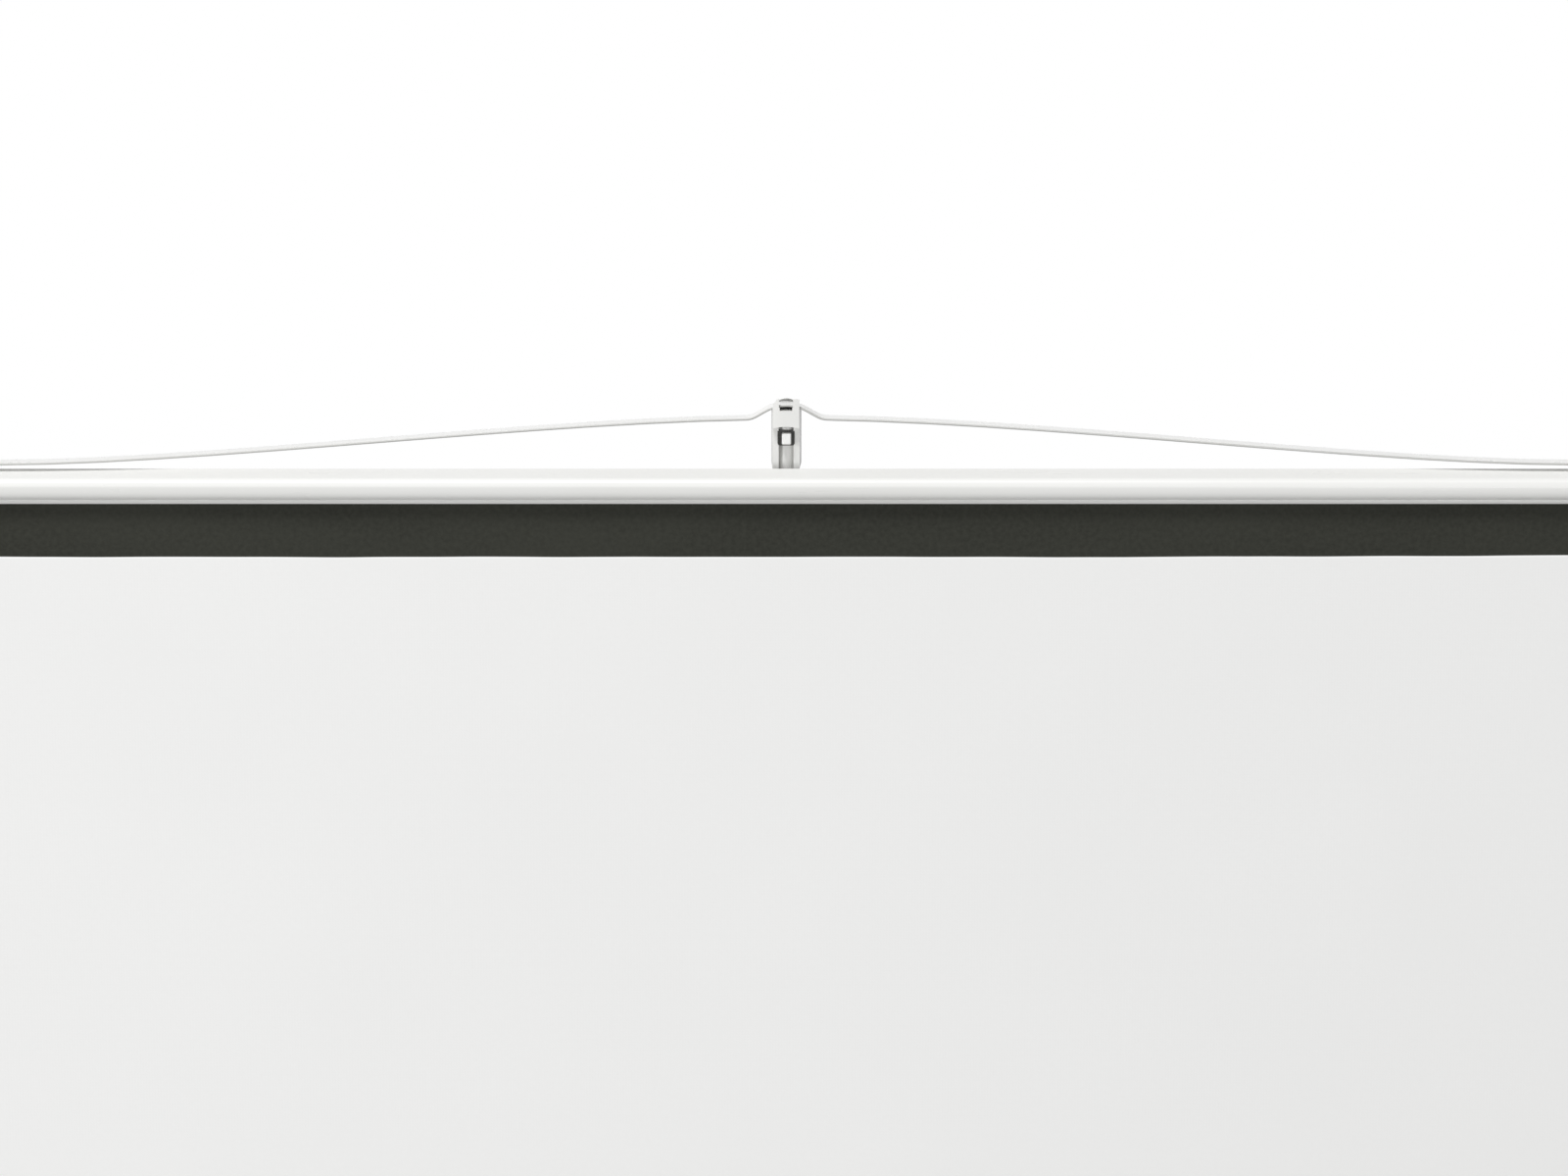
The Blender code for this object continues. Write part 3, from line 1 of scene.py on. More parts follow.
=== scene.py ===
"""Dresses the tripod projector screen: its cloth, batten, bow handle, hook, case, column and tripod.

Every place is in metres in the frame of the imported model, and is taken from its nodes.
"""

import json
import math

import bmesh
import bpy
from mathutils import Matrix, Vector


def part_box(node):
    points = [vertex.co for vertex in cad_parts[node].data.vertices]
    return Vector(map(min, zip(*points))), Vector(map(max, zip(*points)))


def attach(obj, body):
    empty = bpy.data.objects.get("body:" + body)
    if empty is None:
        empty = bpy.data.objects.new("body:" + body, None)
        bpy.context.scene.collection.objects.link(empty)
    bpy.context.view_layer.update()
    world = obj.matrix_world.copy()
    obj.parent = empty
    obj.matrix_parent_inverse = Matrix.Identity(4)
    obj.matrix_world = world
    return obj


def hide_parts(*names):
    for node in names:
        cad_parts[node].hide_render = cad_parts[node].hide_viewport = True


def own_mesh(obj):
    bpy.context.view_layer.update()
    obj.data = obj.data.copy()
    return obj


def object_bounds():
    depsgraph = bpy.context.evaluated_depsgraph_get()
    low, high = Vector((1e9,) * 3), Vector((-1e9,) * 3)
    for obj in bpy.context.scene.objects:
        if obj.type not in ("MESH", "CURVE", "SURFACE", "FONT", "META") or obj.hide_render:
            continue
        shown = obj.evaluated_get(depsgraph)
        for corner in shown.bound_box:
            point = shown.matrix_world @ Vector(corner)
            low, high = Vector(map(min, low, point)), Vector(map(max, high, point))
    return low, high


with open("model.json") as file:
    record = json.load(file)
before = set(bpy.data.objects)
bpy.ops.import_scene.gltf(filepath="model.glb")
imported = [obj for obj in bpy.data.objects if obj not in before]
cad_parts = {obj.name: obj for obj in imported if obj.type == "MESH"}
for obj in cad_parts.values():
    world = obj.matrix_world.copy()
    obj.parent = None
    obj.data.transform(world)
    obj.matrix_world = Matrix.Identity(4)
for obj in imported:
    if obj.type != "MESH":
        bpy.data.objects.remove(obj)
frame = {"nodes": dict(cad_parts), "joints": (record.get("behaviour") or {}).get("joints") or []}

bl_info = {
    "name": "Tripod Projector Screen",
    "version": (1, 0, 0),
    "blender": (4, 5, 0),
    "location": "View3D > Sidebar > Screen",
    "description": "Makes a pull-up projector screen on a tripod, with its cloth, fittings and studio",
    "category": "Object",
}

CAD_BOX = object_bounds()

# Places taken from the frame
COLUMN_LOW, COLUMN_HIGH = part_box("outer_column")
AXIS = Vector(((COLUMN_LOW.x + COLUMN_HIGH.x) / 2, (COLUMN_LOW.y + COLUMN_HIGH.y) / 2, 0))
BATTEN_LOW, BATTEN_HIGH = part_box("batten")
CLOTH_LOW, CLOTH_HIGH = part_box("screen_fabric")
CASE_LOW, CASE_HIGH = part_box("case_shell")
CLOTH_PLANE = (CLOTH_LOW.y + CLOTH_HIGH.y) / 2
BOW_LOW, BOW_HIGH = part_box("handle_bow")
HOOK_LOW, HOOK_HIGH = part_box("hook_head")
TUBE_LOW, TUBE_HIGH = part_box("extension_tube")
COLUMN_RADIUS = (COLUMN_HIGH.x - COLUMN_LOW.x) / 2
TUBE_RADIUS = TUBE_HIGH.x - AXIS.x
JOINT = {joint["name"]: joint for joint in frame["joints"]}
PIVOT = Vector(JOINT["case_fold"]["pos_m"])

# Sizes of the moulded and folded parts
SEAT_GAP = 0.0003
RUNNING_GAP = 0.0006
BATTEN_WALL = 0.0016
BATTEN_SLOT = 0.0024
BATTEN_CREST = 0.0022
BATTEN_SETBACK = 0.0050
BATTEN_DROP = 0.0049
STRIP_THICKNESS = 0.0019
STRIP_DEPTH = 0.018
HUMP_REACH = 0.0265
ARCH_RADIUS = 0.0299
CASE_WALL = 0.0014
CASE_SLOT = 0.004
NOTCH_HALF = 0.005
NOTCH_BOTTOM = 0.0430
NOTCH_DEPTH = 0.012
NOTCH_WIDENING = 0.0006
CAP_BOTTOM = 0.0292
CAP_ARCH = 0.0016
CAP_OVERHANG = 0.0073
CHANNEL_HALF = 0.0058
WINDOW_HALF = 0.0067
WINDOW_RISE = 0.0058
SHADE_PLATE_REACH = 0.0013
BUTTON_FACE = (0.0072, 0.0088)
BUTTON_HOLE = (0.0078, 0.0094)
HORN_CHAMFER = (0.0042, 0.0055)
LIP_RADIUS = 0.0100
LIP_RISE = 0.0020
LEG_WIDTH = 0.018
LEG_THICKNESS = 0.011
LEG_START = 0.018
LEG_END_INSET = 0.010
FOOT_LEVEL = 0.014
TONGUE_THICKNESS = 0.006
PIN_RADIUS = 0.0025
STUD_RADIUS = 0.0028
SCREW_HOLE = 0.0021
SCREW_SINK = 0.0039
PIVOT_HOLE = 0.0053
PIVOT_SINK = 0.0096
SINK_DEPTH = 0.0023
RIVET_HOLE = 0.0023
KNOB_THICKNESS = 0.014
HUB_RADIUS = 0.022
STRUT_COLLAR_RADIUS = 0.0185
STRUT_REACH = 0.032
STRUT_THICKNESS = 0.0025

# How far a cutting shape stands out of the piece that it cuts
PAST = 0.01

LEGS = (1, 2, 3)
SCREWS = ("swivel_screw_1", "swivel_screw_2")


# Shapes

def softened(points, radius, steps=4, closed=True):
    """The outline with each corner turned into a small curve, no longer than half its sides."""
    count = len(points)
    result = []
    for index, point in enumerate(points):
        here = Vector(point)
        if not closed and index in (0, count - 1):
            result.append(tuple(here))
            continue
        before = Vector(points[index - 1]) - here
        after = Vector(points[(index + 1) % count]) - here
        reach = min(radius, before.length / 2, after.length / 2)
        start = here + before.normalized() * reach
        end = here + after.normalized() * reach
        for step in range(steps + 1):
            share = step / steps
            curve = start * (1 - share) ** 2 + here * 2 * share * (1 - share) + end * share ** 2
            result.append(tuple(curve))
    return result


def arc(centre, radius, start_degrees, end_degrees, steps=8):
    """Points of a round stretch, with one radius or with one across and one up."""
    across, up = radius if hasattr(radius, "__len__") else (radius, radius)
    points = []
    for index in range(steps + 1):
        angle = math.radians(start_degrees + (end_degrees - start_degrees) * index / steps)
        points.append((centre[0] + across * math.cos(angle), centre[1] + up * math.sin(angle)))
    return points


PLANES = {
    "x": lambda first, second, along: (along, first, second),
    "y": lambda first, second, along: (first, along, second),
    "z": lambda first, second, along: (first, second, along),
}


def slab(outline, start, end, along="y"):
    """A solid with a flat outline, in the two other directions, from start to end along one."""
    shape = bmesh.new()
    place = PLANES[along]
    ring = [shape.verts.new(place(first, second, start)) for first, second in outline]
    face = shape.faces.new(ring)
    grown = bmesh.ops.extrude_face_region(shape, geom=[face])["geom"]
    moving = [part for part in grown if isinstance(part, bmesh.types.BMVert)]
    bmesh.ops.translate(shape, vec=Vector(place(0, 0, end - start)), verts=moving)
    bmesh.ops.recalc_face_normals(shape, faces=shape.faces)
    return shape


def block(low, high, edge=0.0, segments=3):
    shape = bmesh.new()
    low, high = Vector(low), Vector(high)
    bmesh.ops.create_cube(shape, size=1)
    bmesh.ops.scale(shape, vec=high - low, verts=shape.verts)
    bmesh.ops.translate(shape, vec=(low + high) / 2, verts=shape.verts)
    if edge:
        bmesh.ops.bevel(shape, geom=shape.edges[:], offset=edge, segments=segments, profile=0.5,
                        affect="EDGES", material=-1)
    return shape


def middle_block(half, low, high, edge=0.0, segments=3):
    """A block as wide to the left of the column's axis as to its right, between two (y, z) corners."""
    return block((AXIS.x - half, *low), (AXIS.x + half, *high), edge, segments)


def turned(profile, closed=True, steps=64):
    """A shape turned about Z from (radius, height) points; an open profile ends on the axis."""
    shape = bmesh.new()
    points = [shape.verts.new((radius, 0, height)) for radius, height in profile]
    pairs = list(zip(points, points[1:]))
    if closed:
        pairs.append((points[-1], points[0]))
    edges = [shape.edges.new(pair) for pair in pairs]
    bmesh.ops.spin(shape, geom=points + edges, cent=(0, 0, 0), axis=(0, 0, 1),
                   angle=2 * math.pi, steps=steps, use_merge=True)
    bmesh.ops.remove_doubles(shape, verts=shape.verts, dist=1e-6)
    bmesh.ops.recalc_face_normals(shape, faces=shape.faces)
    return shape


def bar(radius, low, high, steps=48, edge=0.0):
    """A round bar along Z with softened ends."""
    profile = [(0, high), (radius, high), (radius, low), (0, low)]
    if edge:
        profile = softened(profile, edge, 3, closed=False)
    return turned(profile, closed=False, steps=steps)


def pipe(outer, bore, low, high, edge, rounds=2, steps=96):
    """A round tube along Z with softened ends."""
    profile = softened([(outer, high), (outer, low), (bore, low), (bore, high)], edge, rounds)
    return turned(profile, steps=steps)


def around(steps):
    """The angles of even steps round a full circle."""
    return [2 * math.pi * step / steps for step in range(steps)]


def oval(width, thickness, steps=48):
    return [(width / 2 * math.cos(angle), thickness / 2 * math.sin(angle)) for angle in around(steps)]


def strung(rings):
    """A closed form strung along rings of points that all have the same number."""
    shape = bmesh.new()
    loops = []
    for ring in rings:
        verts = [shape.verts.new(place) for place in ring]
        edges = [shape.edges.new((verts[index - 1], verts[index])) for index in range(len(verts))]
        loops.append((edges, verts))
    for (first, _), (second, _) in zip(loops, loops[1:]):
        bmesh.ops.bridge_loops(shape, edges=first + second)
    for _, verts in (loops[0], loops[-1]):
        shape.faces.new(verts)
    bmesh.ops.recalc_face_normals(shape, faces=shape.faces)
    return shape


def swept(path, radius, sides=24):
    """A round bar along a row of points that runs nearly square to Y."""
    across = Vector((0, 1, 0))
    rings = []
    for index, place in enumerate(path):
        heading = path[min(index + 1, len(path) - 1)] - path[max(index - 1, 0)]
        rise = across.cross(heading).normalized()
        rings.append([place + radius * (across * math.cos(angle) + rise * math.sin(angle))
                      for angle in around(sides)])
    return strung(rings)


ALONG_X = Matrix.Rotation(math.pi / 2, 4, "Y")
ALONG_Y = Matrix.Rotation(-math.pi / 2, 4, "X")
ALONG_Z = Matrix.Identity(4)
UP = Vector((0, 0, 1))


def placed(shape, matrix):
    bmesh.ops.transform(shape, matrix=matrix, verts=shape.verts)
    return shape


def moved(shape, place, turn=ALONG_Z):
    """The shape turned about the origin, and then moved from there to a place."""
    return placed(shape, Matrix.Translation(place) @ turn)


def on_axis(level):
    return Vector((AXIS.x, AXIS.y, level))


def centre_of(node):
    """The middle of a node's box, as three plain numbers."""
    low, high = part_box(node)
    return tuple((low[index] + high[index]) / 2 for index in range(3))


def joined(*shapes):
    """Several shapes in one, each still a closed form of its own."""
    whole = bmesh.new()
    for shape in shapes:
        mesh = bpy.data.meshes.new("part")
        shape.to_mesh(mesh)
        shape.free()
        whole.from_mesh(mesh)
        bpy.data.meshes.remove(mesh)
    return whole


def loose_object(name, shape):
    mesh = bpy.data.meshes.new(name)
    shape.to_mesh(mesh)
    shape.free()
    piece = bpy.data.objects.new(name, mesh)
    bpy.context.scene.collection.objects.link(piece)
    return piece


def settle(piece):
    """Turns the piece's modifiers into its mesh."""
    graph = bpy.context.evaluated_depsgraph_get()
    mesh = bpy.data.meshes.new_from_object(piece.evaluated_get(graph))
    old = piece.data
    piece.modifiers.clear()
    piece.data = mesh
    bpy.data.meshes.remove(old)
    mesh.name = piece.name


def carve(piece, shape, operation="DIFFERENCE"):
    """Cuts a shape out of a piece, joins it on, or keeps what both share."""
    tool = loose_object("tool", shape)
    boolean = piece.modifiers.new("cut", "BOOLEAN")
    boolean.object = tool
    boolean.operation = operation
    boolean.solver = "EXACT"
    settle(piece)
    mesh = tool.data
    bpy.data.objects.remove(tool)
    bpy.data.meshes.remove(mesh)


def drill(piece, radius, low, high, place, turn=ALONG_Z, steps=32):
    """Cuts a round hole from low to high along its own axis, which starts at a place."""
    carve(piece, moved(bar(radius, low, high, steps), place, turn))


def round_edges(piece, width, segments=3, angle=32):
    bevel = piece.modifiers.new("edges", "BEVEL")
    bevel.width = width
    bevel.segments = segments
    bevel.limit_method = "ANGLE"
    bevel.angle_limit = math.radians(angle)
    bevel.miter_outer = "MITER_ARC"
    settle(piece)


def finished(piece, material, body, replaced=(), sharp=38):
    """Shades a piece, gives it its finish, and seats it on its body."""
    mesh = piece.data
    # Clearing the materials gives every face the first one, so the faces' own choice is kept
    places = [face.material_index for face in mesh.polygons]
    mesh.materials.clear()
    for entry in material if isinstance(material, (list, tuple)) else [material]:
        mesh.materials.append(finish(entry))
    mesh.polygons.foreach_set("material_index", places)
    mesh.shade_smooth()
    mesh.set_sharp_from_angle(angle=math.radians(sharp))
    weighted = piece.modifiers.new("shading", "WEIGHTED_NORMAL")
    weighted.keep_sharp = True
    settle(piece)
    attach(piece, body)
    if replaced:
        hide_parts(*replaced)
    return piece


def make(name, shape, material, body, replaced=(), sharp=38):
    return finished(loose_object(name, shape), material, body, replaced, sharp)


def slotted(section, wall, slot, outside, inside):
    """The outline of a hollow bar with a slot for the cloth, between its outer and inner level."""
    back, front = CLOTH_PLANE + slot / 2, CLOTH_PLANE - slot / 2
    return [(back, outside), *section(), (front, outside), (front, inside), *reversed(section(wall)),
            (back, inside)]


# Finishes

def add_node(tree, kind, inputs=None, **settings):
    """A new shader node, with each input set to a value or linked to a socket."""
    node = tree.nodes.new("ShaderNode" + kind)
    for key, value in settings.items():
        setattr(node, key, value)
    for key, value in (inputs or {}).items():
        if isinstance(value, bpy.types.NodeSocket):
            tree.links.new(value, node.inputs[key])
        else:
            node.inputs[key].default_value = value
    return node


def seen_share(tree):
    """One for what the camera sees, mirrored and through glass too, and zero for all other light."""
    rays = add_node(tree, "LightPath").outputs
    seen = rays["Is Camera Ray"]
    for name in ("Is Glossy Ray", "Is Transmission Ray"):
        seen = add_node(tree, "Math", {0: seen, 1: rays[name]}, operation="MAXIMUM").outputs[0]
    return seen


def shaded(colour, factor=1.0):
    """The colour made lighter or darker, with its fourth number."""
    return tuple(part * factor for part in colour) + (1,)


class Finish:
    """A material with a Principled surface, and short calls that add the nodes which vary it."""

    def __init__(self, name, colour, roughness, metallic=0.0, specular=0.5):
        self.material = bpy.data.materials.new(name)
        self.material.use_nodes = True
        self.tree = self.material.node_tree
        self.shader = self.tree.nodes["Principled BSDF"]
        self.colour = (*colour, 1)
        self.set("Base Color", self.colour)
        self.set("Roughness", roughness)
        self.set("Metallic", metallic)
        self.set("Specular IOR Level", specular)
        self.where = self.tree.nodes.new("ShaderNodeTexCoord").outputs["Object"]
        self.height = None

    def set(self, socket, value):
        self.shader.inputs[socket].default_value = value

    def add(self, kind, inputs=None, **settings):
        return add_node(self.tree, kind, inputs, **settings)

    def noise(self, scale, stretch=(1, 1, 1), detail=3.0, rough=0.55):
        place = self.add("Mapping", {"Vector": self.where, "Scale": stretch})
        return self.add("TexNoise", {"Vector": place.outputs[0], "Scale": scale, "Detail": detail,
                                     "Roughness": rough}).outputs["Fac"]

    def math(self, operation, first, second=0.0, third=0.0):
        return self.add("Math", {0: first, 1: second, 2: third}, operation=operation).outputs[0]

    def ranged(self, value, low=0.3, high=0.7, to_low=0.0, to_high=1.0):
        return self.add("MapRange", {"Value": value, "From Min": low, "From Max": high,
                                     "To Min": to_low, "To Max": to_high}).outputs["Result"]

    def blend(self, share, first, second):
        """A colour between two, each four numbers or a socket."""
        return self.add("Mix", {0: share, 6: first, 7: second}, data_type="RGBA").outputs[2]

    def paint(self, value):
        self.tree.links.new(value, self.shader.inputs["Base Color"])

    def vary_colour(self, share, darker=0.94, tint=(1, 1, 1)):
        low = tuple(self.colour[index] * darker * tint[index] for index in range(3)) + (1,)
        self.paint(self.blend(share, low, self.colour))

    def vary_roughness(self, share, low, high):
        ranged = self.ranged(share, to_low=low, to_high=high)
        self.tree.links.new(ranged, self.shader.inputs["Roughness"])

    def bump(self, height, distance, strength=1.0):
        """Raises the surface by a height map, on top of what was raised before."""
        inputs = {"Height": height, "Distance": distance, "Strength": strength}
        if self.height is not None:
            inputs["Normal"] = self.height
        self.height = self.add("Bump", inputs).outputs["Normal"]
        self.tree.links.new(self.height, self.shader.inputs["Normal"])


def powder_coat(name, colour, roughness=0.34):
    """Sprayed and baked paint: faint orange peel, and a roughness that drifts a little."""
    made = Finish(name, colour, roughness)
    made.vary_colour(made.ranged(made.noise(9), 0.35, 0.65), 0.975, (1, 0.998, 0.99))
    made.vary_roughness(made.noise(55), roughness - 0.05, roughness + 0.07)
    made.bump(made.noise(420, detail=2), 0.00006)
    made.bump(made.noise(1900, detail=1), 0.00001)
    return made.material


def coated_extrusion(name, colour):
    """Satin paint over an extruded bar, whose die lines run along X under the paint."""
    made = Finish(name, colour, 0.30)
    made.vary_colour(made.ranged(made.noise(7, (0.4, 1, 1)), 0.35, 0.65), 0.985, (1, 1, 0.992))
    made.vary_roughness(made.noise(60, (0.15, 1, 1)), 0.26, 0.35)
    made.bump(made.noise(900, (0.012, 1, 1), detail=2), 0.00002)
    made.bump(made.noise(500, detail=2), 0.00003)
    return made.material


def moulded_plastic(name, colour, roughness, grain=0.00003):
    """Injection-moulded plastic with a fine spark grain and faint flow marks."""
    made = Finish(name, colour, roughness)
    made.vary_colour(made.ranged(made.noise(35, (1, 1, 0.5))), 0.95)
    made.vary_roughness(made.noise(130), roughness - 0.06, roughness + 0.06)
    made.bump(made.noise(2400, detail=1), grain)
    made.bump(made.noise(60), grain * 2)
    return made.material


def rubber(name):
    made = Finish(name, (0.030, 0.030, 0.031), 0.78, specular=0.35)
    made.vary_colour(made.ranged(made.noise(60)), 0.7)
    made.vary_roughness(made.noise(150), 0.70, 0.86)
    made.bump(made.noise(1500, detail=2), 0.00008)
    return made.material


def plated_steel(name, colour=(0.62, 0.62, 0.61), roughness=0.30):
    """Zinc plate: soft spangle in the colour and fine scratches."""
    made = Finish(name, colour, roughness, metallic=1.0)
    cells = made.add("TexVoronoi", {"Vector": made.where, "Scale": 450.0}).outputs["Distance"]
    made.vary_colour(made.ranged(cells, 0.1, 0.7), 0.86, (1, 1, 1.01))
    made.vary_roughness(made.noise(320), roughness - 0.06, roughness + 0.14)
    made.bump(made.noise(1300, (1, 1, 0.1), detail=2), 0.00001)
    return made.material


def cloth_weave(made, vector, pitch):
    """Raised threads both ways, from a surface's own map in metres."""
    heights = []
    for direction in ("X", "Y"):
        wave = made.add("TexWave", {"Vector": vector, "Scale": 1 / pitch / 20 * math.pi, "Distortion": 0.0},
                        wave_type="BANDS", bands_direction=direction)
        heights.append(wave.outputs["Fac"])
    return made.math("MULTIPLY", *heights)


def screen_cloth(name):
    """Matt white coating with a printed black border, on the cloth's own map in metres."""
    look = bpy.context.scene.screen_looks
    size = bpy.context.scene.screen_sizes
    made = Finish(name, look.cloth_white, 0.88, specular=0.12)
    chart = made.add("UVMap", uv_map="cloth").outputs["UV"]
    made.where = chart
    parts = made.add("SeparateXYZ", {"Vector": chart})
    across, down = parts.outputs["X"], parts.outputs["Y"]
    # The lower edge of the top border wanders a little along the width and climbs towards the right
    drift = made.ranged(made.noise(7.0, (1, 0, 0), detail=1.5), 0.3, 0.7, -0.0004, 0.0004)
    climb = made.math("POWER", made.ranged(across, 0.2, 0.6), 2.0)
    edge = made.math("ADD", size.top_border, made.math("MULTIPLY_ADD", climb, -0.0014, drift))
    past_top = made.math("SUBTRACT", down, edge)
    past_side = made.math("SUBTRACT", size.image_width / 2, made.math("ABSOLUTE", across))
    past_foot = made.math("SUBTRACT", size.top_border + size.image_height, down)
    inside = made.math("MINIMUM", made.math("MINIMUM", past_top, past_side), past_foot)
    black = made.ranged(inside, -0.00025, 0.00025, 1.0, 0.0)
    lip = made.math("MULTIPLY", made.ranged(inside, -0.0001, 0.0004),
                    made.ranged(inside, 0.0010, 0.0018, 1.0, 0.0))
    mottle = made.ranged(made.noise(5.5, detail=4))
    grain = made.ranged(made.noise(260, detail=2))
    white = made.blend(mottle, shaded(look.cloth_white, 0.985), shaded(look.cloth_white))
    white = made.blend(made.math("MULTIPLY", grain, 0.4), white, shaded(look.cloth_white, 0.975))
    white = made.blend(lip, white, (0.985, 0.985, 0.98, 1))
    streak = made.ranged(made.noise(14, (0.35, 1, 1), detail=5))
    dark = made.blend(streak, shaded(look.border_black, 0.84), shaded(look.border_black, 1.12))
    dark = made.blend(made.math("MULTIPLY", grain, 0.5), dark, shaded(look.border_black, 1.5))
    made.paint(made.blend(black, white, dark))
    made.bump(cloth_weave(made, chart, 0.0011), 0.00004, 0.35)
    made.bump(made.noise(700, detail=2), 0.00003, 0.6)
    made.bump(black, 0.00012, 0.6)
    return made.material


def cloth_back(name):
    """The black light-stopping coat on the cloth's back."""
    made = Finish(name, (0.028, 0.028, 0.028), 0.9, specular=0.15)
    chart = made.add("UVMap", uv_map="cloth").outputs["UV"]
    made.where = chart
    made.vary_colour(made.ranged(made.noise(18, (1, 0.4, 1), detail=4)), 0.8)
    made.bump(cloth_weave(made, chart, 0.0011), 0.00005, 0.5)
    made.bump(made.noise(500, detail=2), 0.00003, 0.5)
    return made.material


def wound_cloth(name):
    """The rolled cloth: white edges of its turns, with the weave run along the roll."""
    made = Finish(name, bpy.context.scene.screen_looks.cloth_white, 0.9, specular=0.12)
    made.vary_colour(made.ranged(made.noise(40, (0.2, 1, 1))), 0.93)
    made.bump(made.noise(900, (0.3, 1, 1), detail=2), 0.00005)
    return made.material


# Each finish's maker, then its colour or the name of its look, and its other settings
FINISHES = {
    "white powder coat": (powder_coat, "paint_white"),
    "batten coat": (coated_extrusion, "paint_white"),
    "case coat": (coated_extrusion, "paint_white"),
    "bow coat": (powder_coat, (0.90, 0.90, 0.89), 0.30),
    "white moulding": (moulded_plastic, "plastic_white", 0.38),
    "button moulding": (moulded_plastic, (0.90, 0.90, 0.885), 0.30, 0.00001),
    "grey moulding": (moulded_plastic, "plastic_grey", 0.52, 0.00005),
    # These three are painted shade: darker colours put where the strip's front and rear faces, the lip's
    # front and the hollows of the hook lie in shade
    "strip edge": (powder_coat, (0.52, 0.52, 0.505), 0.38),
    "lip face": (moulded_plastic, (0.32, 0.32, 0.31), 0.5),
    "dark hollow": (moulded_plastic, (0.05, 0.05, 0.046), 0.6),
    "foot rubber": (rubber,),
    "zinc plate": (plated_steel,),
    "spring steel": (plated_steel, (0.42, 0.42, 0.43), 0.38),
    "screen cloth": (screen_cloth,),
    "cloth back": (cloth_back,),
    "wound cloth": (wound_cloth,),
}


def finish(name):
    """The named material, made when it is first asked for."""
    if name in bpy.data.materials:
        return bpy.data.materials[name]
    maker, *settings = FINISHES[name]
    looks = bpy.context.scene.screen_looks
    return maker(name, *(getattr(looks, entry) if isinstance(entry, str) else entry for entry in settings))


def refinish(material, *nodes):
    """Gives solids of the frame a better finish."""
    for node in nodes:
        piece = frame["nodes"][node]
        piece.data.materials.clear()
        piece.data.materials.append(finish(material))


# Settings

class ScreenLooks(bpy.types.PropertyGroup):
    cloth_white: bpy.props.FloatVectorProperty(
        name="Cloth white", description="Matt white of the picture area", subtype="COLOR",
        size=3, min=0, max=1, default=(0.900, 0.900, 0.893))
    border_black: bpy.props.FloatVectorProperty(
        name="Border black", description="Printed border round the picture area", subtype="COLOR",
        size=3, min=0, max=1, default=(0.033, 0.034, 0.028))
    paint_white: bpy.props.FloatVectorProperty(
        name="Paint white", description="Coated metal parts", subtype="COLOR",
        size=3, min=0, max=1, default=(0.80, 0.80, 0.785))
    plastic_white: bpy.props.FloatVectorProperty(
        name="Plastic white", description="White moulded parts", subtype="COLOR",
        size=3, min=0, max=1, default=(0.82, 0.82, 0.80))
    plastic_grey: bpy.props.FloatVectorProperty(
        name="Plastic grey", description="Knobs, grip and plugs", subtype="COLOR",
        size=3, min=0, max=1, default=(0.075, 0.076, 0.078))


class ScreenSizes(bpy.types.PropertyGroup):
    top_border: bpy.props.FloatProperty(
        name="Top border", description="Black band under the batten", unit="LENGTH", default=0.042)
    image_width: bpy.props.FloatProperty(
        name="Picture width", description="White width between the side borders", unit="LENGTH",
        default=1.234)
    image_height: bpy.props.FloatProperty(
        name="Picture height", description="White height between the borders", unit="LENGTH",
        default=1.210)
    cloth_thickness: bpy.props.FloatProperty(
        name="Cloth thickness", description="Thickness of the coated cloth", unit="LENGTH",
        default=0.0006)


class ScreenStage(bpy.types.PropertyGroup):
    elevation: bpy.props.FloatProperty(
        name="Camera elevation", description="Angle that the camera looks down at", subtype="ANGLE",
        default=math.radians(11))
    distance: bpy.props.FloatProperty(
        name="Camera distance", description="From the camera to the batten", unit="LENGTH", default=4.0)
    view_width: bpy.props.FloatProperty(
        name="View width", description="Width seen at the batten", unit="LENGTH", default=1.2)
    floor_radius: bpy.props.FloatProperty(
        name="Floor radius", description="Round pale floor under the tripod", unit="LENGTH", default=3.0)
    sky: bpy.props.FloatProperty(
        name="Sky strength", description="Even light from all round", default=0.16)
    top: bpy.props.FloatProperty(
        name="Top lamp", description="Lamp high above the left shoulder of the camera, in watts",
        default=1150.0)
    left: bpy.props.FloatProperty(
        name="Left lamp", description="Large soft lamp to the camera's left, in watts", default=220.0)
    right: bpy.props.FloatProperty(
        name="Right lamp", description="Weaker soft lamp to the camera's right, in watts", default=118.0)


# Cloth

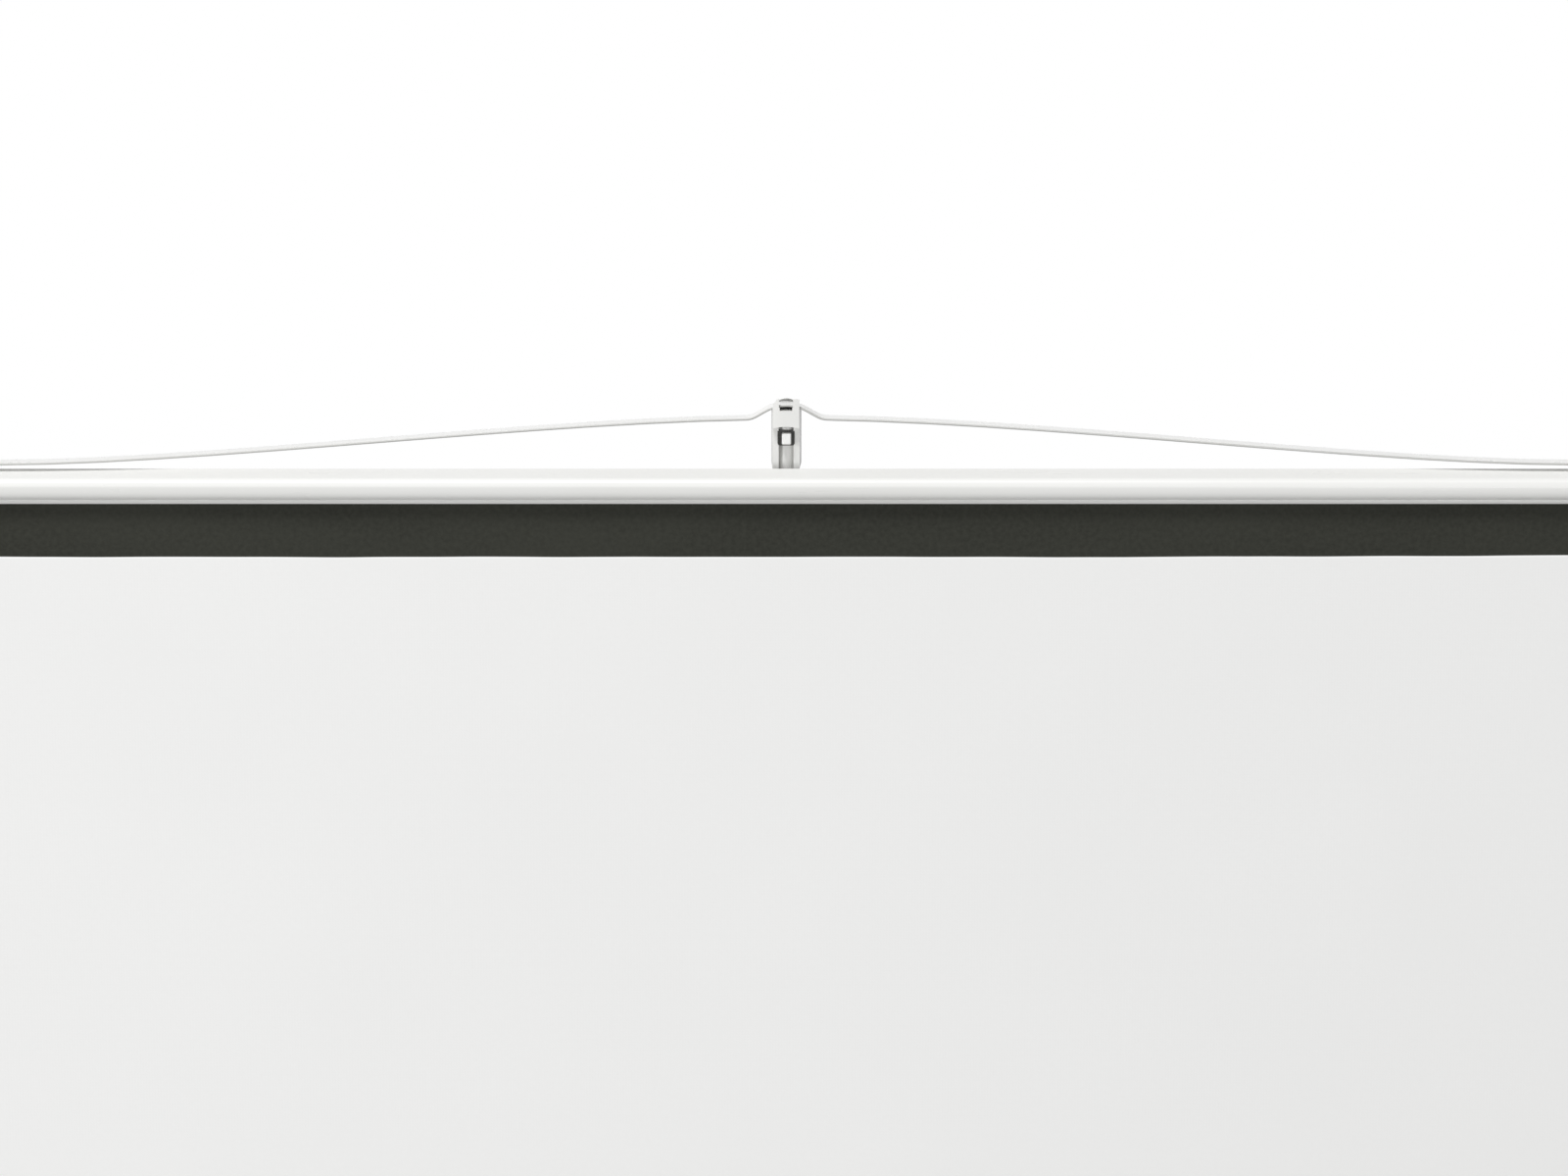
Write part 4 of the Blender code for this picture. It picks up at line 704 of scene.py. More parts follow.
class TRIPOD_SCREEN_OT_cloth(bpy.types.Operator):
    """Hang the projection cloth between the case and the batten"""
    bl_idname = "tripod_screen.cloth"
    bl_label = "Projection cloth"

    def execute(self, context):
        sizes = context.scene.screen_sizes
        half = sizes.cloth_thickness / 2
        bead = (CLOTH_HIGH.y - CLOTH_LOW.y) / 2
        low, high = CLOTH_LOW.z, CLOTH_HIGH.z - bead
        left, right = CLOTH_LOW.x, CLOTH_HIGH.x
        shape = bmesh.new()
        bmesh.ops.create_grid(shape, x_segments=96, y_segments=96, size=0.5)
        chart = shape.loops.layers.uv.new("cloth")
        for vert in shape.verts:
            x = left + (right - left) * (vert.co.x + 0.5)
            z = low + (high - low) * (vert.co.y + 0.5)
            vert.co = (x, CLOTH_PLANE, z)
        for face in shape.faces:
            for loop in face.loops:
                loop[chart].uv = (loop.vert.co.x - AXIS.x, BATTEN_LOW.z - loop.vert.co.z)
        bmesh.ops.recalc_face_normals(shape, faces=shape.faces)
        if shape.faces[0].normal.y > 0:
            bmesh.ops.reverse_faces(shape, faces=shape.faces)
        front = list(shape.faces)
        copy = bmesh.ops.duplicate(shape, geom=front)["geom"]
        back = [part for part in copy if isinstance(part, bmesh.types.BMFace)]
        bmesh.ops.reverse_faces(shape, faces=back)
        for face in back:
            face.material_index = 1
        for vert in {vert for face in front for vert in face.verts}:
            vert.co.y -= half
        for vert in {vert for face in back for vert in face.verts}:
            vert.co.y += half
        rims = [edge for edge in shape.edges if edge.is_boundary]
        bmesh.ops.bridge_loops(shape, edges=rims)
        for vert in shape.verts:
            vert.co.y += self.ripple(vert.co.x, vert.co.z, low, high)
        bmesh.ops.recalc_face_normals(shape, faces=shape.faces)
        piece = loose_object("projection_cloth", shape)
        finished(piece, ["screen cloth", "cloth back"], "case_body", ["screen_fabric"])
        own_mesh(piece)
        rod = turned(softened([(0, right), (bead, right), (bead, left), (0, left)], 0.0006, closed=False),
                     closed=False, steps=24)
        make("hem_rod", moved(rod, (0, CLOTH_PLANE, CLOTH_HIGH.z - bead), ALONG_X), "wound cloth",
             "batten_body")
        return {"FINISHED"}

    @staticmethod
    def ripple(x, z, low, high):
        """Very slight waves of the stretched cloth, none where it is held."""
        share = (z - low) / (high - low)
        held = math.sin(math.pi * min(max(share, 0), 1))
        return 0.0006 * held * math.sin(9.1 * x + 2.3 * z) * math.cos(2.9 * x - 4.1 * z)


# Batten, bow and clips

def bent(start, control, end, steps=8):
    """Points of a soft bend that leaves its start and meets its end towards one control point."""
    places = [Vector(place) for place in (start, control, end)]
    shares = [index / steps for index in range(1, steps + 1)]
    return [tuple(places[0] * (1 - share) ** 2 + places[1] * 2 * share * (1 - share) + places[2] * share ** 2)
            for share in shares]


def batten_section(inset=0.0):
    """Section as (y, z): a top that slopes to a tight shoulder, a bulged front and a small lower lip."""
    face = BATTEN_LOW.y
    front, back = face + inset, BATTEN_HIGH.y - inset
    low, high = BATTEN_LOW.z + inset, BATTEN_HIGH.z - inset
    corner = max(BATTEN_CREST - inset, 0.0003)
    slope = BATTEN_DROP / (BATTEN_HIGH.y - face - BATTEN_CREST - BATTEN_SETBACK)
    points = arc((back - corner, low + corner), corner, -90, 0, 5)
    points += arc((back - corner, high - corner), corner, 0, 90, 5)
    shoulder = (face + BATTEN_SETBACK, high - BATTEN_DROP)
    knee = (face + 0.34 * BATTEN_SETBACK + inset, shoulder[1] - 0.66 * BATTEN_SETBACK * slope)
    below_knee = (face + 0.0007 + inset, knee[1] - 0.0031)
    brow, chin = (front, high - 0.0118), (front + 0.0012, high - 0.0194)
    lip = (front + 0.0040, low + 0.0030)
    points.append(shoulder)
    points += bent(shoulder, knee, below_knee, 8)
    points += bent(below_knee, (front, (below_knee[1] + brow[1]) / 2), brow, 6)
    points += bent(brow, (front, chin[1] + 0.0021), chin, 8)
    points += bent(chin, (chin[0] + 0.0006, chin[1] - 0.0010), lip, 6)
    return points + [(lip[0] - 0.0001, low + 0.0023), (lip[0] + 0.0007, low + 0.0004), (lip[0] + 0.0011, low)]


class TRIPOD_SCREEN_OT_batten(bpy.types.Operator):
    """Model the top batten with its end caps"""
    bl_idname = "tripod_screen.batten"
    bl_label = "Top batten"

    def execute(self, context):
        outline = slotted(batten_section, BATTEN_WALL, BATTEN_SLOT, BATTEN_LOW.z, BATTEN_LOW.z + BATTEN_WALL)
        make("top_batten", slab(outline, BATTEN_LOW.x, BATTEN_HIGH.x, "x"), "batten coat", "batten_body",
             ["batten"], sharp=28)
        for side, name in ((-1, "batten_cap_left"), (1, "batten_cap_right")):
            low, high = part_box(name)
            outer_face = high.x if side > 0 else low.x
            inner_face = BATTEN_HIGH.x + SEAT_GAP if side > 0 else BATTEN_LOW.x - SEAT_GAP
            piece = loose_object(f"{name}_moulding", slab(batten_section(), inner_face, outer_face, "x"))
            round_edges(piece, 0.0007)
            spigot = slab(batten_section(BATTEN_WALL + SEAT_GAP), inner_face + side * 0.001,
                          inner_face - side * 0.008, "x")
            carve(piece, spigot, "UNION")
            finished(piece, "white moulding", "batten_body", [name])
        return {"FINISHED"}


class TRIPOD_SCREEN_OT_bow(bpy.types.Operator):
    """Model the spring strip of the bow handle and the clips that hold its ends"""
    bl_idname = "tripod_screen.bow"
    bl_label = "Bow handle"

    def execute(self, context):
        under, over = self.strip_lines()
        # The rolled edges are half round
        half = STRIP_THICKNESS / 2
        nose = arc((half, 0), half, -90, -270, 8)
        tail = arc((STRIP_DEPTH - half, 0), half, 90, -90, 8)
        rings = []
        for bottom, top in zip(under, over):
            middle, rise = (bottom + top) / 2, (top - bottom).normalized()
            section = [(back, middle + rise * lift) for back, lift in nose + tail]
            rings.append([(place.x, bottom.y + back, place.z) for back, place in section])
        shape = strung(rings)
        shape.normal_update()
        # The darker finish is painted shade, and goes on the faces that look to the front or the rear
        for face in shape.faces:
            face.material_index = int(abs(face.normal.y) > 0.4)
        strip = make("bow_strip", shape, ["bow coat", "strip edge"], "batten_body",
                     ["handle_bow"], sharp=45)
        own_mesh(strip)
        for side, name in ((-1, "bow_clip_left"), (1, "bow_clip_right")):
            self.make_clip(name, side)
        return {"FINISHED"}

    @staticmethod
    def hump_foot(under):
        """Height where the long run ends and the hump over the hook starts."""
        return min((abs(abs(place.x - AXIS.x) - HUMP_REACH), place.z) for place in under)[1]

    @staticmethod
    def strip_lines():
        """The lower and upper front edges of the strip, read from the solid's corners and eased."""
        fronts = {}
        for vert in frame["nodes"]["handle_bow"].data.vertices:
            key = (round(vert.co.x, 5), round(vert.co.z, 5))
            fronts[key] = min(fronts.get(key, vert.co.y), vert.co.y)
        corners = [Vector((x, y, z)) for (x, z), y in sorted(fronts.items())]
        upper = []
        for corner in corners:
            near = [other for other in corners if other is not corner and abs(other.x - corner.x) < 0.0012]
            if any(other.z < corner.z - STRIP_THICKNESS / 2 for other in near):
                upper.append(corner)
        lower = [corner for corner in corners if corner not in upper]
        dense = []
        for first, second in zip(zip(lower, upper), zip(lower[1:], upper[1:])):
            parts = max(1, round((second[0] - first[0]).length / 0.0025))
            dense += [tuple(start.lerp(end, index / parts) for start, end in zip(first, second))
                      for index in range(parts)]
        dense.append((lower[-1], upper[-1]))
        for _ in range(3):
            eased = [dense[0]]
            for before, here, after in zip(dense, dense[1:], dense[2:]):
                eased.append(tuple((before[line] + 2 * here[line] + after[line]) / 4 for line in (0, 1)))
            dense = eased + [dense[-1]]
        return [pair[0] for pair in dense], [pair[1] for pair in dense]

    @staticmethod
    def make_clip(name, side):
        """A moulded saddle on the batten's sloping top, whose mouth holds the strip's end."""
        low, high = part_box(name)
        slope, crest = 0.387, BATTEN_HIGH.y - BATTEN_CREST
        seat = BATTEN_HIGH.z + SEAT_GAP * 1.1
        inner = BATTEN_HIGH.y + SEAT_GAP
        outer = inner + 0.0035
        shelf = BATTEN_HIGH.z + 0.0005
        outline = [(low.y, high.z - 0.0008), (low.y + 0.0008, high.z), (high.y - 0.0012, high.z),
                   (high.y, high.z - 0.0012), (high.y, shelf), (outer, shelf), (outer, low.z + 0.001),
                   (outer - 0.001, low.z), (inner, low.z), (inner, seat), (crest, seat),
                   (low.y, seat - (crest - low.y) * slope)]
        piece = loose_object(f"{name}_moulding", slab(outline, low.x, high.x, "x"))
        round_edges(piece, 0.0007)
        cheek = 0.003 - SEAT_GAP
        bottom = BOW_LOW.z - SEAT_GAP
        reach = 0.0173
        start = low.x if side > 0 else high.x
        ends = sorted((start - side * 0.010, start + side * reach))
        mouth = block((ends[0], low.y + cheek, bottom),
                      (ends[1], high.y - cheek, bottom + STRIP_THICKNESS + 2 * SEAT_GAP), 0.0003)
        carve(piece, mouth)
        finished(piece, "white moulding", "batten_body", [name])


# Hook head and extension

class TRIPOD_SCREEN_OT_hook(bpy.types.Operator):
    """Model the hook head and its spring button"""
    bl_idname = "tripod_screen.hook"
    bl_label = "Hook head"

    def execute(self, context):
        top_line = BATTEN_HIGH.z
        half = (HOOK_HIGH.x - HOOK_LOW.x) / 2
        front, rear = HOOK_LOW.y, HOOK_HIGH.y
        bottom, top = HOOK_LOW.z, HOOK_HIGH.z
        # Seen from above: a slightly round front, straight sides and soft corners
        bulge, edge, soft = 0.0008, 0.0006, 0.0015
        plan = [(AXIS.x + x, front + bulge * (x / half) ** 2)
                for x in self.spread(-half + edge, half - edge, 14)]
        plan += arc((AXIS.x + half - soft, rear - soft), soft, 0, 90, 5)
        plan += arc((AXIS.x - half + soft, rear - soft), soft, 90, 180, 5)
        head = loose_object("hook_moulding", slab(plan, bottom - 0.001, top + 0.001, "z"))
        corner, right_horn = 0.004, 0.0012
        view = arc((AXIS.x + half - corner, bottom + corner), corner, -90, 0, 6)
        view += [(AXIS.x + half, top - right_horn), (AXIS.x + half - right_horn, top)]
        view += [(AXIS.x - half + HORN_CHAMFER[0], top), (AXIS.x - half, top - HORN_CHAMFER[1])]
        view += arc((AXIS.x - half + corner, bottom + corner), corner, 180, 270, 6)
        carve(head, slab(view, front - PAST, rear + PAST), "INTERSECT")
        self.cut_saddle(head, half, rear, top)
        wide = half + 0.004
        cap = top_line + CAP_BOTTOM
        step = [(AXIS.x + wide, cap), (AXIS.x + half, cap)]
        step += bent((AXIS.x + half, cap), (AXIS.x, cap + 2 * CAP_ARCH), (AXIS.x - half, cap), 14)
        step += [(AXIS.x - wide, cap), (AXIS.x - wide, bottom - PAST), (AXIS.x + wide, bottom - PAST)]
        carve(head, slab(step, front - PAST, front + CAP_OVERHANG))
        under_strip = BOW_HIGH.z - STRIP_THICKNESS - 0.0004
        back_corner = (front + NOTCH_DEPTH, top + PAST)
        carve(head, middle_block(NOTCH_HALF, (front - PAST, top_line + NOTCH_BOTTOM), back_corner, 0.0006))
        carve(head, middle_block(NOTCH_HALF + NOTCH_WIDENING, (front - PAST, under_strip), back_corner,
                                 0.0003))
        drill(head, TUBE_RADIUS + SEAT_GAP, bottom - PAST, TUBE_HIGH.z + SEAT_GAP, AXIS, steps=64)
        carve(head, middle_block(CHANNEL_HALF, (front - PAST, bottom - 0.02), (AXIS.y, cap + 0.0008), 0.0006))
        self.cut_window(head, front)
        # The sides draw in and shift to the left at the front, and the lip leans forward over the strip
        width, widening, shift = 0.955, 0.07, 0.0004
        for vert in head.data.vertices:
            share = (vert.co.y - front) / (rear - front)
            vert.co.x = AXIS.x + (vert.co.x - AXIS.x) * (width + widening * share) - shift * (1 - share)
            if vert.co.z > BOW_HIGH.z and abs(vert.co.y - BOW_HIGH.y) < 0.001:
                vert.co.y -= vert.co.z - BOW_HIGH.z
        round_edges(head, 0.00035, 2)
        self.paint_shade_in_hollows(head, front, under_strip)
        finished(head, ["white moulding", "dark hollow", "lip face"], "extension_body",
                 ["hook_head"], sharp=32)
        self.make_button()
        self.make_spring()
        refinish("zinc plate", "hook_rivet")
        return {"FINISHED"}

    @staticmethod
    def paint_shade_in_hollows(head, front, under_strip):
        """Paints shade into the inside of the notch and the window with the dark finish, and into the lip's
        front with the grey one.
        """
        middle = centre_of("hook_button")[2]
        behind_notch = front + NOTCH_DEPTH + 0.0005
        for face in head.data.polygons:
            place = face.center
            aside = abs(place.x - AXIS.x)
            in_notch = (aside < NOTCH_HALF + 0.0002 and front + 0.0015 < place.y < behind_notch
                        and BATTEN_HIGH.z + NOTCH_BOTTOM < place.z < under_strip + 0.001)
            in_window = (aside < WINDOW_HALF + 0.0004 and place.y > front + CAP_OVERHANG + 0.0012
                         and middle - WINDOW_RISE - 0.001 < place.z < BATTEN_HIGH.z + CAP_BOTTOM + 0.001)
            # Painted shade: the inside of the notch and the window gets the dark finish
            if in_notch or in_window:
                face.material_index = 1
            # Painted shade: the lip's front gets the grey finish
            elif place.z > BOW_HIGH.z - 0.0035 and face.normal.y < -0.3 and place.y > behind_notch:
                face.material_index = 2

    @staticmethod
    def make_spring():
        """The wire spring behind the button, which the pressed button closes."""
        low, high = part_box("hook_button_spring")
        middle, wire = (low + high) / 2, 0.00035
        radius = min(high.x - low.x, high.z - low.z) / 2 - wire
        turns, steps = 6, 14
        start, end = low.y + wire, high.y - wire
        coil = []
        for index in range(turns * steps + 1):
            share = index / (turns * steps)
            angle = 2 * math.pi * turns * share
            coil.append(Vector((middle.x + radius * math.cos(angle), start + (end - start) * share,
                                middle.z + radius * math.sin(angle))))
        spring = make("button_spring", swept(coil, wire, 8), "spring steel", "extension_body",
                      ["hook_button_spring"])
        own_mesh(spring)

    @staticmethod
    def spread(start, end, steps):
        return [start + (end - start) * index / steps for index in range(steps + 1)]

    @staticmethod
    def cut_saddle(head, half, rear, top):
        """The saddle that the strip lies in, with a small round lip behind it."""
        crown = BOW_HIGH.z
        centre = (AXIS.x, crown - STRIP_THICKNESS - ARCH_RADIUS)
        reach = half + 0.002
        lean = math.degrees(math.asin(reach / ARCH_RADIUS))
        floor = arc(centre, ARCH_RADIUS - SEAT_GAP, 90 + lean, 90 - lean, 20)
        above = top + PAST
        saddle = floor + [(AXIS.x + reach, above), (AXIS.x - reach, above)]
        strip_front = BOW_HIGH.y - STRIP_DEPTH
        carve(head, slab(saddle, strip_front - SEAT_GAP, BOW_HIGH.y + SEAT_GAP))
        lip = arc((AXIS.x, crown + LIP_RISE - LIP_RADIUS), LIP_RADIUS, 154, 26, 14)
        trim = [floor[0]] + lip + [floor[-1], (AXIS.x + reach, above), (AXIS.x - reach, above)]
        carve(head, slab(trim, BOW_HIGH.y, rear + PAST))
        carve(head, middle_block(reach, (BOW_HIGH.y + 0.0017, crown - 0.0004), (rear + PAST, above)))

    @staticmethod
    def cut_window(head, front):
        """The wider opening round the button, with round lower corners, and a plate at its floor that is
        there to carry painted shade.
        """
        middle = centre_of("hook_button")[2]
        half, rise, radius, growth = WINDOW_HALF, WINDOW_RISE, 0.0020, 1.04
        outline = arc((AXIS.x + half - radius, middle - rise + radius), radius, -90, 0, 5)
        outline += [(AXIS.x + half, middle + rise), (AXIS.x - half, middle + rise)]
        outline += arc((AXIS.x - half + radius, middle - rise + radius), radius, 180, 270, 5)
        carve(head, slab(outline, front - PAST, AXIS.y - 0.004))
        tube_front = 2 * AXIS.y - TUBE_HIGH.y
        plate = [(AXIS.x + (x - AXIS.x) * growth, middle + (z - middle) * growth) for x, z in outline]
        # The plate is a sheet behind the window that only carries painted shade
        carve(head, slab(plate, tube_front - SHADE_PLATE_REACH, tube_front - SEAT_GAP), "UNION")
        wide, tall = BUTTON_HOLE
        carve(head, middle_block(wide / 2, (front - PAST, middle - tall / 2),
                                 (tube_front + PAST, middle + tall / 2), 0.0004))

    @staticmethod
    def make_button():
        low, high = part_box("hook_button")
        level = (low.z + high.z) / 2
        wide, tall = BUTTON_FACE
        face = middle_block(wide / 2, (low.y, level - tall / 2), (high.y, level + tall / 2), 0.0011, 4)
        flange = block((low.x, high.y - 0.0012, low.z), (high.x, high.y, high.z), 0.0003, 2)
        make("spring_button", joined(face, flange), "button moulding", "hook_button_body",
             ["hook_button"])


class TRIPOD_SCREEN_OT_extension(bpy.types.Operator):
    """Model the extension tube that carries the hook head"""
    bl_idname = "tripod_screen.extension"
    bl_label = "Extension tube"

    def execute(self, context):
        outer, wall = TUBE_RADIUS, 0.001
        tube = loose_object("extension_steel_tube",
                            moved(pipe(outer, outer - wall, TUBE_LOW.z, TUBE_HIGH.z, 0.0003), AXIS))
        low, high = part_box("hook_button")
        half = (high.x - low.x) / 2 - SEAT_GAP
        carve(tube, middle_block(half, (AXIS.y - 2 * outer, low.z + RUNNING_GAP),
                                 (AXIS.y - outer / 2, high.z - RUNNING_GAP), 0.0006))
        low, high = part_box("hook_rivet")
        drill(tube, (high.x - low.x) / 4 + SEAT_GAP, 0, 2 * outer,
              (AXIS.x, AXIS.y + outer / 2, (low.z + high.z) / 2), ALONG_Y, 24)
        finished(tube, "white powder coat", "extension_body", ["extension_tube"])
        refinish("grey moulding", "extension_glide")
        return {"FINISHED"}


# Case, roller and slider

def case_section(inset=0.0):
    """Section as (y, z), clockwise from the slot's back edge: square at the back, round in front."""
    front, back = CASE_LOW.y + inset, CASE_HIGH.y - inset
    low, high = CASE_LOW.z + inset, CASE_HIGH.z - inset
    soft, small = 0.020 - inset, max(0.003 - inset, 0.0004)
    points = arc((back - small, high - small), small, 90, 0, 5)
    points += arc((back - small, low + small), small, 0, -90, 5)
    points += arc((front + soft, low + soft), soft, -90, -180, 16)
    return points + arc((front + soft, high - soft), soft, 180, 90, 16)


class TRIPOD_SCREEN_OT_case(bpy.types.Operator):
    """Model the case shell, its end caps, the carry handle and the swivel plate"""
    bl_idname = "tripod_screen.case"
    bl_label = "Case"

    def execute(self, context):
        outline = slotted(case_section, CASE_WALL, CASE_SLOT, CASE_HIGH.z, CASE_HIGH.z - CASE_WALL)
        shell = loose_object("case_extrusion", slab(outline, CASE_LOW.x, CASE_HIGH.x, "x"))
        for name in SCREWS:
            place = (centre_of(name)[0], CASE_HIGH.y, PIVOT.z)
            drill(shell, SCREW_HOLE, -PAST, PAST, place, ALONG_Y, 24)
        finished(shell, "case coat", "case_body", ["case_shell"], sharp=28)
        for side, name in ((-1, "case_cap_left"), (1, "case_cap_right")):
            self.make_cap(name, side)
        self.make_grip()
        self.make_plate()
        refinish("zinc plate", "case_pivot_pin", *SCREWS, "gudgeon_pin", "spring_rod")
        return {"FINISHED"}

    @staticmethod
    def make_cap(name, side):
        low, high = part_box(name)
        outer = high.x if side > 0 else low.x
        inner = CASE_HIGH.x + SEAT_GAP if side > 0 else CASE_LOW.x - SEAT_GAP
        cap = loose_object(f"{name}_moulding", slab(case_section(), inner, outer, "x"))
        round_edges(cap, 0.0018, 4)
        carve(cap, slab(case_section(0.006), outer - side * 0.0008, outer + side * PAST, "x"))
        spigot = slab(case_section(CASE_WALL + SEAT_GAP), inner + side * 0.002, inner - side * 0.006, "x")
        carve(cap, spigot, "UNION")
        axle_low, axle_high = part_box("gudgeon_pin" if side < 0 else "spring_rod")
        end = axle_low.x if side < 0 else axle_high.x
        # The socket's floor lies just past the axle's end
        reach = 0.03
        place = (end + side * (SEAT_GAP - reach), (axle_low.y + axle_high.y) / 2, PIVOT.z)
        drill(cap, (axle_high.z - axle_low.z) / 2 + SEAT_GAP, -reach, reach, place, ALONG_X)
        finished(cap, "white moulding", "case_body", [name])

    @staticmethod
    def make_grip():
        low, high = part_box("carry_handle")
        radius, bend, foot, thickness = 0.006, 0.014, 0.024, 0.003
        y = (low.y + high.y) / 2
        half = (high.x - low.x) / 2 - foot
        turn = arc((half - bend, low.z + radius + bend), bend, 0, -90, 14)
        right = [(half, high.z - thickness / 2), (half, high.z - 0.006)] + turn
        path = [Vector((AXIS.x + x, y, z)) for x, z in right]
        path += [Vector((AXIS.x - x, y, z)) for x, z in reversed(right)]
        shapes = [swept(path, radius)]
        for side in (-1, 1):
            middle = AXIS.x + side * half
            plate = softened([(middle - foot, y - foot / 2), (middle + foot, y - foot / 2),
                              (middle + foot, y + foot / 2), (middle - foot, y + foot / 2)], 0.008, 6)
            shapes.append(slab(plate, high.z - thickness, high.z, "z"))
        grip = loose_object("carry_grip", shapes.pop(0))
        for shape in shapes:
            carve(grip, shape, "UNION")
        round_edges(grip, 0.0006, 2, 40)
        finished(grip, "grey moulding", "case_body", ["carry_handle"])

    @staticmethod
    def make_plate():
        low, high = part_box("swivel_plate")
        outline = softened([(low.x, low.z), (high.x, low.z), (high.x, high.z), (low.x, high.z)], 0.008, 6)
        plate = loose_object("swivel_pressing", slab(outline, low.y, high.y))
        reach = 0.02
        place = (PIVOT.x, low.y, PIVOT.z)
        drill(plate, PIVOT_HOLE, -reach, reach, place, ALONG_Y)
        drill(plate, PIVOT_SINK, -reach, SINK_DEPTH, place, ALONG_Y)
        for name in SCREWS:
            place = (centre_of(name)[0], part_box(name)[1].y, PIVOT.z)
            drill(plate, SCREW_HOLE, -reach, reach, place, ALONG_Y, 24)
            drill(plate, SCREW_SINK, -SINK_DEPTH, reach, place, ALONG_Y, 24)
        round_edges(plate, 0.0008)
        finished(plate, "white powder coat", "case_body", ["swivel_plate"])


class TRIPOD_SCREEN_OT_roller(bpy.types.Operator):
    """Model the cloth left on the roller and finish the roller's fittings"""
    bl_idname = "tripod_screen.roller"
    bl_label = "Roller"

    def execute(self, context):
        low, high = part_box("fabric_roll")
        tube_low, tube_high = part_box("roller_tube")
        outer = (high.z - low.z) / 2
        bore = (tube_high.z - tube_low.z) / 2 + SEAT_GAP
        roll = moved(pipe(outer, bore, low.x, high.x, 0.0002, steps=72),
                     (0, (low.y + high.y) / 2, (low.z + high.z) / 2), ALONG_X)
        make("wound_cloth", roll, "wound cloth", "roller_body", ["fabric_roll"])
        refinish("grey moulding", "roller_plug_left", "roller_plug_right", "spring_anchor")
        refinish("zinc plate", "roller_tube")
        refinish("spring steel", "roller_spring")
        return {"FINISHED"}


def lobed_knob(name, node, body):
    """A clamping knob with six lobes and a dished face, on the stud that its node shows."""
    low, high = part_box(node)
    radius = (high.x - low.x) / 2
    lobes, waist, dish = 6, 0.09, 0.0012
    shape = bmesh.new()
    bmesh.ops.create_cone(shape, cap_ends=True, segments=120, radius1=radius, radius2=radius,
                          depth=KNOB_THICKNESS)
    # The outer face is set in twice, and its middle sinks to a dish
    face = max(shape.faces, key=lambda face: face.calc_center_median().z)
    bmesh.ops.inset_region(shape, faces=[face], thickness=radius * 0.42)
    bmesh.ops.inset_region(shape, faces=[face], thickness=dish)
    bmesh.ops.translate(shape, vec=(0, 0, -dish), verts=list(face.verts))
    rim = radius * 0.75
    for vert in shape.verts:
        reach = math.hypot(vert.co.x, vert.co.y)
        if reach > rim:
            swell = 1 - waist * (1 - math.cos(lobes * math.atan2(vert.co.y, vert.co.x)))
            vert.co.x *= swell
            vert.co.y *= swell
    level = (low.z + high.z) / 2
    knob = loose_object(name, moved(shape, (AXIS.x, high.y - KNOB_THICKNESS / 2, level), ALONG_Y))
    round_edges(knob, 0.0011, 3, 50)
    stud = bar(STUD_RADIUS, 0, high.y - KNOB_THICKNESS - low.y + 0.002, 32, 0.0004)
    carve(knob, moved(stud, (AXIS.x, low.y, level), ALONG_Y), "UNION")
    finished(knob, "grey moulding", body, [node])


class TRIPOD_SCREEN_OT_slider(bpy.types.Operator):
    """Model the slider that carries the case, with its clamping knob"""
    bl_idname = "tripod_screen.slider"
    bl_label = "Slider"

    def execute(self, context):
        low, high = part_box("case_slider")
        outline = softened([(low.x, low.y), (high.x, low.y), (high.x, high.y), (low.x, high.y)], 0.009, 8)
        slider = loose_object("slider_moulding", slab(outline, low.z, high.z, "z"))
        round_edges(slider, 0.0016, 3)
        middle, reach = on_axis(PIVOT.z), 0.06
        drill(slider, COLUMN_RADIUS + RUNNING_GAP, -reach, reach, middle, steps=72)
        drill(slider, STUD_RADIUS + SEAT_GAP, 0, reach, middle, ALONG_Y)
        drill(slider, PIVOT_HOLE, -0.02, 0.0047, (PIVOT.x, low.y, PIVOT.z), ALONG_Y)
        finished(slider, "white moulding", "slider_body", ["case_slider"])
        lobed_knob("slider_clamp_knob", "slider_knob", "slider_knob_body")
        return {"FINISHED"}


# Column and tripod

class TRIPOD_SCREEN_OT_column(bpy.types.Operator):
    """Model the outer column, its top collar and its clamping knob"""
    bl_idname = "tripod_screen.column"
    bl_label = "Column"

    def execute(self, context):
        tube = pipe(COLUMN_RADIUS, COLUMN_RADIUS - 0.0012, COLUMN_LOW.z, COLUMN_HIGH.z, 0.0004)
        make("column_tube", moved(tube, AXIS), "white powder coat", "stand", ["outer_column"])
        self.make_collar()
        lobed_knob("column_clamp_knob", "column_knob", "column_knob_body")
        refinish("grey moulding", "column_base_plug")
        return {"FINISHED"}

    @staticmethod
    def make_collar():
        low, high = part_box("column_top_collar")
        reach = (high.x - low.x) / 2
        grip, guide = COLUMN_RADIUS + SEAT_GAP, TUBE_RADIUS + SEAT_GAP
        step = COLUMN_HIGH.z + SEAT_GAP
        profile = softened([(reach, high.z), (reach, low.z), (grip, low.z), (grip, step),
                            (guide, step), (guide, high.z)], 0.0012, 4)
        collar = loose_object("collar_moulding", moved(turned(profile, steps=96), AXIS))
        level = COLUMN_HIGH.z + (high.z - COLUMN_HIGH.z) / 2
        start = (reach + guide) / 2
        boss = bar(0.007, start, high.y - AXIS.y, 48, 0.0008)
        carve(collar, moved(boss, on_axis(level), ALONG_Y), "UNION")
        drill(collar, STUD_RADIUS + SEAT_GAP, 0, 0.04, on_axis(level), ALONG_Y)
        finished(collar, "white moulding", "stand", ["column_top_collar"])


def spoke(number):
    """A leg's pivot, the level direction that it points in, and the level direction beside that."""
    pivot = Vector(JOINT[f"leg_{number}_fold"]["pos_m"])
    outward = Vector((pivot.x - AXIS.x, pivot.y - AXIS.y, 0)).normalized()
    return pivot, outward, Vector((-outward.y, outward.x, 0))


